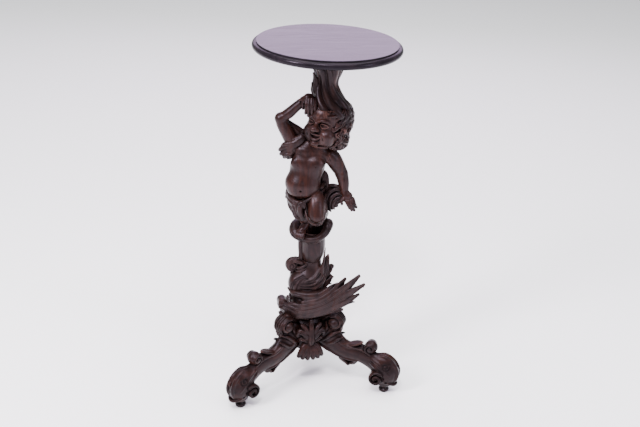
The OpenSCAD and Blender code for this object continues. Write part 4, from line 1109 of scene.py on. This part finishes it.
def wood(name, dark, mid, light, worn, rough=(0.26, 0.42), grain=(38, 38, 5), bump=0.2, depth=1.0,
         specular=0.16,
         sheen=(0.96, 0.86, 1.0)):
    """Stained wood: grain along one axis, pores, blotchy stain and worn edges, with painted shade in
    recesses that darkens the colour and dims the reflection.
    """
    m = bpy.data.materials.new(name)
    m.use_nodes = True
    t = m.node_tree
    shader = t.nodes["Principled BSDF"]
    where = t.nodes.new("ShaderNodeTexCoord")
    along = node_of(t, "ShaderNodeMapping", Scale=grain)
    link(t, where.outputs["Object"], along.inputs["Vector"])
    streak = node_of(t, "ShaderNodeTexNoise", Scale=1.6, Detail=9.0, Roughness=0.62, Distortion=0.9)
    link(t, along.outputs[0], streak.inputs["Vector"])
    pores = node_of(t, "ShaderNodeTexNoise", Scale=14.0, Detail=4.0, Roughness=0.7)
    link(t, along.outputs[0], pores.inputs["Vector"])
    blotch = node_of(t, "ShaderNodeTexNoise", Scale=13.0, Detail=4.0, Roughness=0.55, Distortion=0.4)
    link(t, where.outputs["Object"], blotch.inputs["Vector"])
    colour = ramp(t, streak.outputs["Fac"], [(0.3, dark), (0.52, mid), (0.74, light)]).outputs[0]
    stain = ramp(t, blotch.outputs["Fac"], [(0.3, 0.62), (0.7, 1.28)]).outputs[0]
    colour = mix(t, 0.85, colour, stain, "MULTIPLY")
    pore = ramp(t, pores.outputs["Fac"], [(0.28, 0.55), (0.42, 1.0)]).outputs[0]
    colour = mix(t, 0.7, colour, pore, "MULTIPLY")
    proud = t.nodes.new("ShaderNodeAttribute")
    proud.attribute_name = "proud"
    wear = node_of(t, "ShaderNodeMath")
    wear.operation = "MULTIPLY"
    link(t, proud.outputs["Fac"], wear.inputs[0])
    link(t, blotch.outputs["Fac"], wear.inputs[1])
    edge = ramp(t, wear.outputs[0], [(0.13, 0.0), (0.42, 0.75)]).outputs[0]
    colour = mix(t, edge, colour, worn)
    # Painted shade: where the hollow measure (ambient occlusion from the distance field) is high, the colour
    # goes to near black and the roughness rises.
    hollow = t.nodes.new("ShaderNodeAttribute")
    hollow.attribute_name = "hollow"
    painted_shade = ramp(t, hollow.outputs["Fac"], [(0.12, 0.0), (0.44, 0.7 * depth), (0.8, 0.97 * depth)]).outputs[0]
    colour = mix(t, painted_shade, colour, (0.0022, 0.0016, 0.0018))
    link(t, colour, shader.inputs["Base Color"])
    rough_here = ramp(t, streak.outputs["Fac"], [(0.3, rough[1]), (0.7, rough[0])]).outputs[0]
    rough_here = mix(t, painted_shade, rough_here, (0.72, 0.72, 0.72))
    link(t, rough_here, shader.inputs["Roughness"])
    shader.inputs["Specular Tint"].default_value = (*sheen, 1)
    # The painted shade dims the reflection too: the specular level falls to 0.15 of its value there.
    link(t, mix(t, painted_shade, (specular,) * 3, (specular * 0.15,) * 3), shader.inputs["Specular IOR Level"])
    fine = node_of(t, "ShaderNodeBump", Strength=bump, Distance=0.0006)
    link(t, pores.outputs["Fac"], fine.inputs["Height"])
    tool = node_of(t, "ShaderNodeTexNoise", Scale=170.0, Detail=3.0, Roughness=0.5)
    link(t, where.outputs["Object"], tool.inputs["Vector"])
    marks = node_of(t, "ShaderNodeBump", Strength=bump * 1.1, Distance=0.0012)
    link(t, tool.outputs["Fac"], marks.inputs["Height"])
    link(t, fine.outputs[0], marks.inputs["Normal"])
    link(t, marks.outputs[0], shader.inputs["Normal"])
    return m


figure_wood = wood("figure_wood", (0.0059, 0.0026, 0.0022), (0.0175, 0.0064, 0.0049),
                   (0.0365, 0.0122, 0.0080), (0.0808, 0.0365, 0.0289))
carved_wood = wood("carved_wood", (0.0051, 0.0027, 0.0026), (0.0140, 0.0066, 0.0058),
                   (0.0272, 0.0119, 0.0095), (0.0680, 0.0382, 0.0348),
                   grain=(30, 34, 8), specular=0.14)
base_wood = wood("base_wood", (0.0047, 0.0023, 0.0022), (0.0115, 0.0048, 0.0040), (0.0255, 0.0092, 0.0068),
                 (0.0629, 0.0314, 0.0263),
                 grain=(8, 34, 30), specular=0.12)
turned_wood = wood("turned_wood", (0.0045, 0.0028, 0.0027), (0.0100, 0.0054, 0.0050),
                   (0.018, 0.0098, 0.0084), (0.055, 0.032, 0.028),
                   grain=(30, 30, 8))
top_wood = wood("top_wood", (0.0045, 0.0036, 0.0050), (0.0080, 0.0060, 0.0082), (0.0130, 0.0090, 0.0115),
                (0.05, 0.035, 0.042),
                rough=(0.20, 0.28), grain=(5, 46, 46), bump=0.05, specular=0.08, sheen=(0.95, 0.82, 1.0))
# The dowels get the painted shade in recesses at half strength.
dowel_wood = wood("dowel_wood", (0.34, 0.22, 0.12), (0.50, 0.34, 0.20), (0.62, 0.45, 0.29),
                  (0.66, 0.50, 0.34), rough=(0.55, 0.75),
                  depth=0.5)


def polish_field():
    """The raised field of the top is polished more than its rim, which lies below field_level, in metres."""
    field_level = 0.9985
    t = top_wood.node_tree
    where = t.nodes.new("ShaderNodeTexCoord")
    split = t.nodes.new("ShaderNodeSeparateXYZ")
    link(t, where.outputs["Object"], split.inputs[0])
    above = node_of(t, "ShaderNodeMath")
    above.operation = "GREATER_THAN"
    above.inputs[1].default_value = field_level
    link(t, split.outputs[2], above.inputs[0])
    gloss = node_of(t, "ShaderNodeMath")
    gloss.operation = "MULTIPLY_ADD"
    gloss.inputs[1].default_value = 0.55
    gloss.inputs[2].default_value = 0.08
    link(t, above.outputs[0], gloss.inputs[0])
    link(t, gloss.outputs[0], t.nodes["Principled BSDF"].inputs["Specular IOR Level"])


polish_field()


def brushed_steel():
    m = bpy.data.materials.new("steel")
    m.use_nodes = True
    t = m.node_tree
    shader = t.nodes["Principled BSDF"]
    shader.inputs["Metallic"].default_value = 1.0
    where = t.nodes.new("ShaderNodeTexCoord")
    scratch = node_of(t, "ShaderNodeTexNoise", Scale=900.0, Detail=3.0)
    link(t, where.outputs["Object"], scratch.inputs["Vector"])
    link(t, ramp(t, scratch.outputs["Fac"], [(0.3, (0.30, 0.30, 0.31)),
                                        (0.7, (0.52, 0.51, 0.50))]).outputs[0], shader.inputs["Base Color"])
    link(t, ramp(t, scratch.outputs["Fac"], [(0.3, 0.28), (0.7, 0.5)]).outputs[0],
         shader.inputs["Roughness"])
    rub = node_of(t, "ShaderNodeBump", Strength=0.15, Distance=0.0002)
    link(t, scratch.outputs["Fac"], rub.inputs["Height"])
    link(t, rub.outputs[0], shader.inputs["Normal"])
    return m


steel = brushed_steel()


# ---- the pieces ----

piece("head", make_head(), "cherub_head", figure_wood)
piece("torso", make_torso(), "cherub_torso", figure_wood)
piece("arm_raised", make_raised_arm(), "raised_arm", figure_wood)
piece("arm_lowered", make_lowered_arm(), "lowered_arm", figure_wood)
piece("leg_standing", make_standing_leg(), "standing_leg", figure_wood)
piece("leg_kneeling", make_kneeling_leg(), "kneeling_leg", figure_wood)
for name, make, node in (
    ("sash_shoulder", make_shoulder_sash, "shoulder_sash"),
    ("sash_waist", make_waist_sash, "waist_sash"),
    ("cloth_hips", make_loincloth, "loincloth"),
    ("cloth_fan", make_fan, "fan_drapery"),
    ("cloth_back", make_back, "back_drapery"),
    ("shaft", make_shaft, "neck_shaft"),
    ("leaf_neck", make_neck_leaf, "neck_leaf"),
    ("vase", make_vase, "vase_stem"),
    ("volute", make_volute, "upper_volute"),
    ("leaf_side", make_side_leaf, "side_leaf"),
    ("tier", make_tier, "shell_tier"),
    ("leaf_shell", make_shell_leaf, "shell_leaf"),
    ("wave_block", make_swirl_block, "swirl_block"),
    ("wave", make_wave, ("swirl_wing", "swirl_scroll")),
):
    piece(name, make(), node, carved_wood)
leg, palmette = make_leg(), make_palmette()
leg_mesh, palmette_mesh = leg.mesh(), palmette.mesh()
for i, side in enumerate(("left", "right", "rear")):
    angle = math.radians((-60, 60, 180)[i])
    piece("tripod_leg_" + side, leg_mesh, "leg_" + side, base_wood, angle)
for i, side in enumerate(("front", "left", "right")):
    angle = math.radians((0, -120, 120)[i])
    piece("shell_" + side, palmette_mesh, "palmette_" + side, base_wood, angle)

# ---- the turned parts and the hidden ones keep their CAD mesh ----

slots = {"table_top": ("top_wood", top_wood), "top_bearer": ("top_wood", top_wood),
         "hub": ("base_wood", base_wood), "bearer_screws": ("steel", steel)}
for name, obj in nodes.items():
    if name.startswith("bun_foot"):
        slots[name] = ("turned_wood", turned_wood)
    elif name not in slots and not obj.hide_render:
        slots[name] = ("dowel_wood", dowel_wood)
for name, (slot_name, material) in slots.items():
    obj = nodes[name]
    obj.data.materials.clear()
    obj.data.materials.append(material)
    obj.data.polygons.foreach_set("use_smooth", [True] * len(obj.data.polygons))
    split = obj.modifiers.new("edges", "EDGE_SPLIT")
    split.split_angle = math.radians(32)

# ---- floor, lights and camera ----

floor_material = bpy.data.materials.new("floor")
floor_material.use_nodes = True
tree = floor_material.node_tree
speckle = node_of(tree, "ShaderNodeTexNoise", Scale=3.0, Detail=2.0)
link(tree, ramp(tree, speckle.outputs["Fac"], [(0.0, (0.93, 0.93, 0.94)),
                                        (1.0, (0.96, 0.96, 0.97))]).outputs[0],
     tree.nodes["Principled BSDF"].inputs["Base Color"])
tree.nodes["Principled BSDF"].inputs["Roughness"].default_value = 0.9
bpy.ops.mesh.primitive_plane_add(size=40, location=(0, 0, 0))
floor = bpy.context.object
floor.name = "floor"
floor.data.materials.append(floor_material)

world = bpy.data.worlds.new("studio")
bpy.context.scene.world = world
world.use_nodes = True
world.node_tree.nodes["Background"].inputs[0].default_value = (0.93, 0.94, 1.0, 1)
world.node_tree.nodes["Background"].inputs[1].default_value = 0.5

VIEW = math.radians(14.3)


def softbox(name, azimuth, height, far, size, power, colour, look=0.55):
    """An area light. azimuth is measured from the camera's side, to the right, in degrees."""
    a = math.radians(azimuth) - VIEW
    light = bpy.data.lights.new(name, "AREA")
    light.shape = "RECTANGLE"
    light.size, light.size_y = size
    light.energy = power
    light.color = colour
    obj = bpy.data.objects.new(name, light)
    bpy.context.scene.collection.objects.link(obj)
    obj.location = (far * math.sin(a), -far * math.cos(a), height)
    obj.rotation_euler = (Vector((0, 0, look)) - obj.location).to_track_quat("-Z", "Y").to_euler()
    obj.visible_camera = False


softbox("key", -50, 2.3, 2.4, (0.6, 1.1), 135, (1.0, 0.93, 1.0))
softbox("fill", 62, 1.4, 2.6, (0.5, 1.4), 34, (0.90, 0.86, 1.0))
softbox("back", 180, 2.5, 3.2, (4.0, 2.0), 66, (0.88, 0.62, 1.0), look=0.9)
softbox("front", -8, 3.6, 2.1, (0.5, 0.5), 125, (1.0, 0.93, 1.0), look=0.6)
softbox("over", 0, 5.5, 0.3, (6.0, 6.0), 780, (1.0, 1.0, 1.0), look=0.0)

camera = bpy.data.cameras.new("camera")
camera.lens = 51.08
camera.sensor_width = 36
eye = bpy.data.objects.new("camera", camera)
bpy.context.scene.collection.objects.link(eye)
pitch, roll = math.radians(25.25), math.radians(2.80)
ahead = Vector((math.sin(VIEW) * math.cos(pitch), math.cos(VIEW) * math.cos(pitch), -math.sin(pitch)))
right = ahead.cross(Vector((0, 0, 1))).normalized()
up = right.cross(ahead)
right, up = right * math.cos(roll) + up * math.sin(roll), up * math.cos(roll) - right * math.sin(roll)
eye.matrix_world = Matrix.Translation((-0.529, -2.212, 1.577)) @ Matrix((right, up,
                                        -ahead)).transposed().to_4x4()
bpy.context.scene.camera = eye
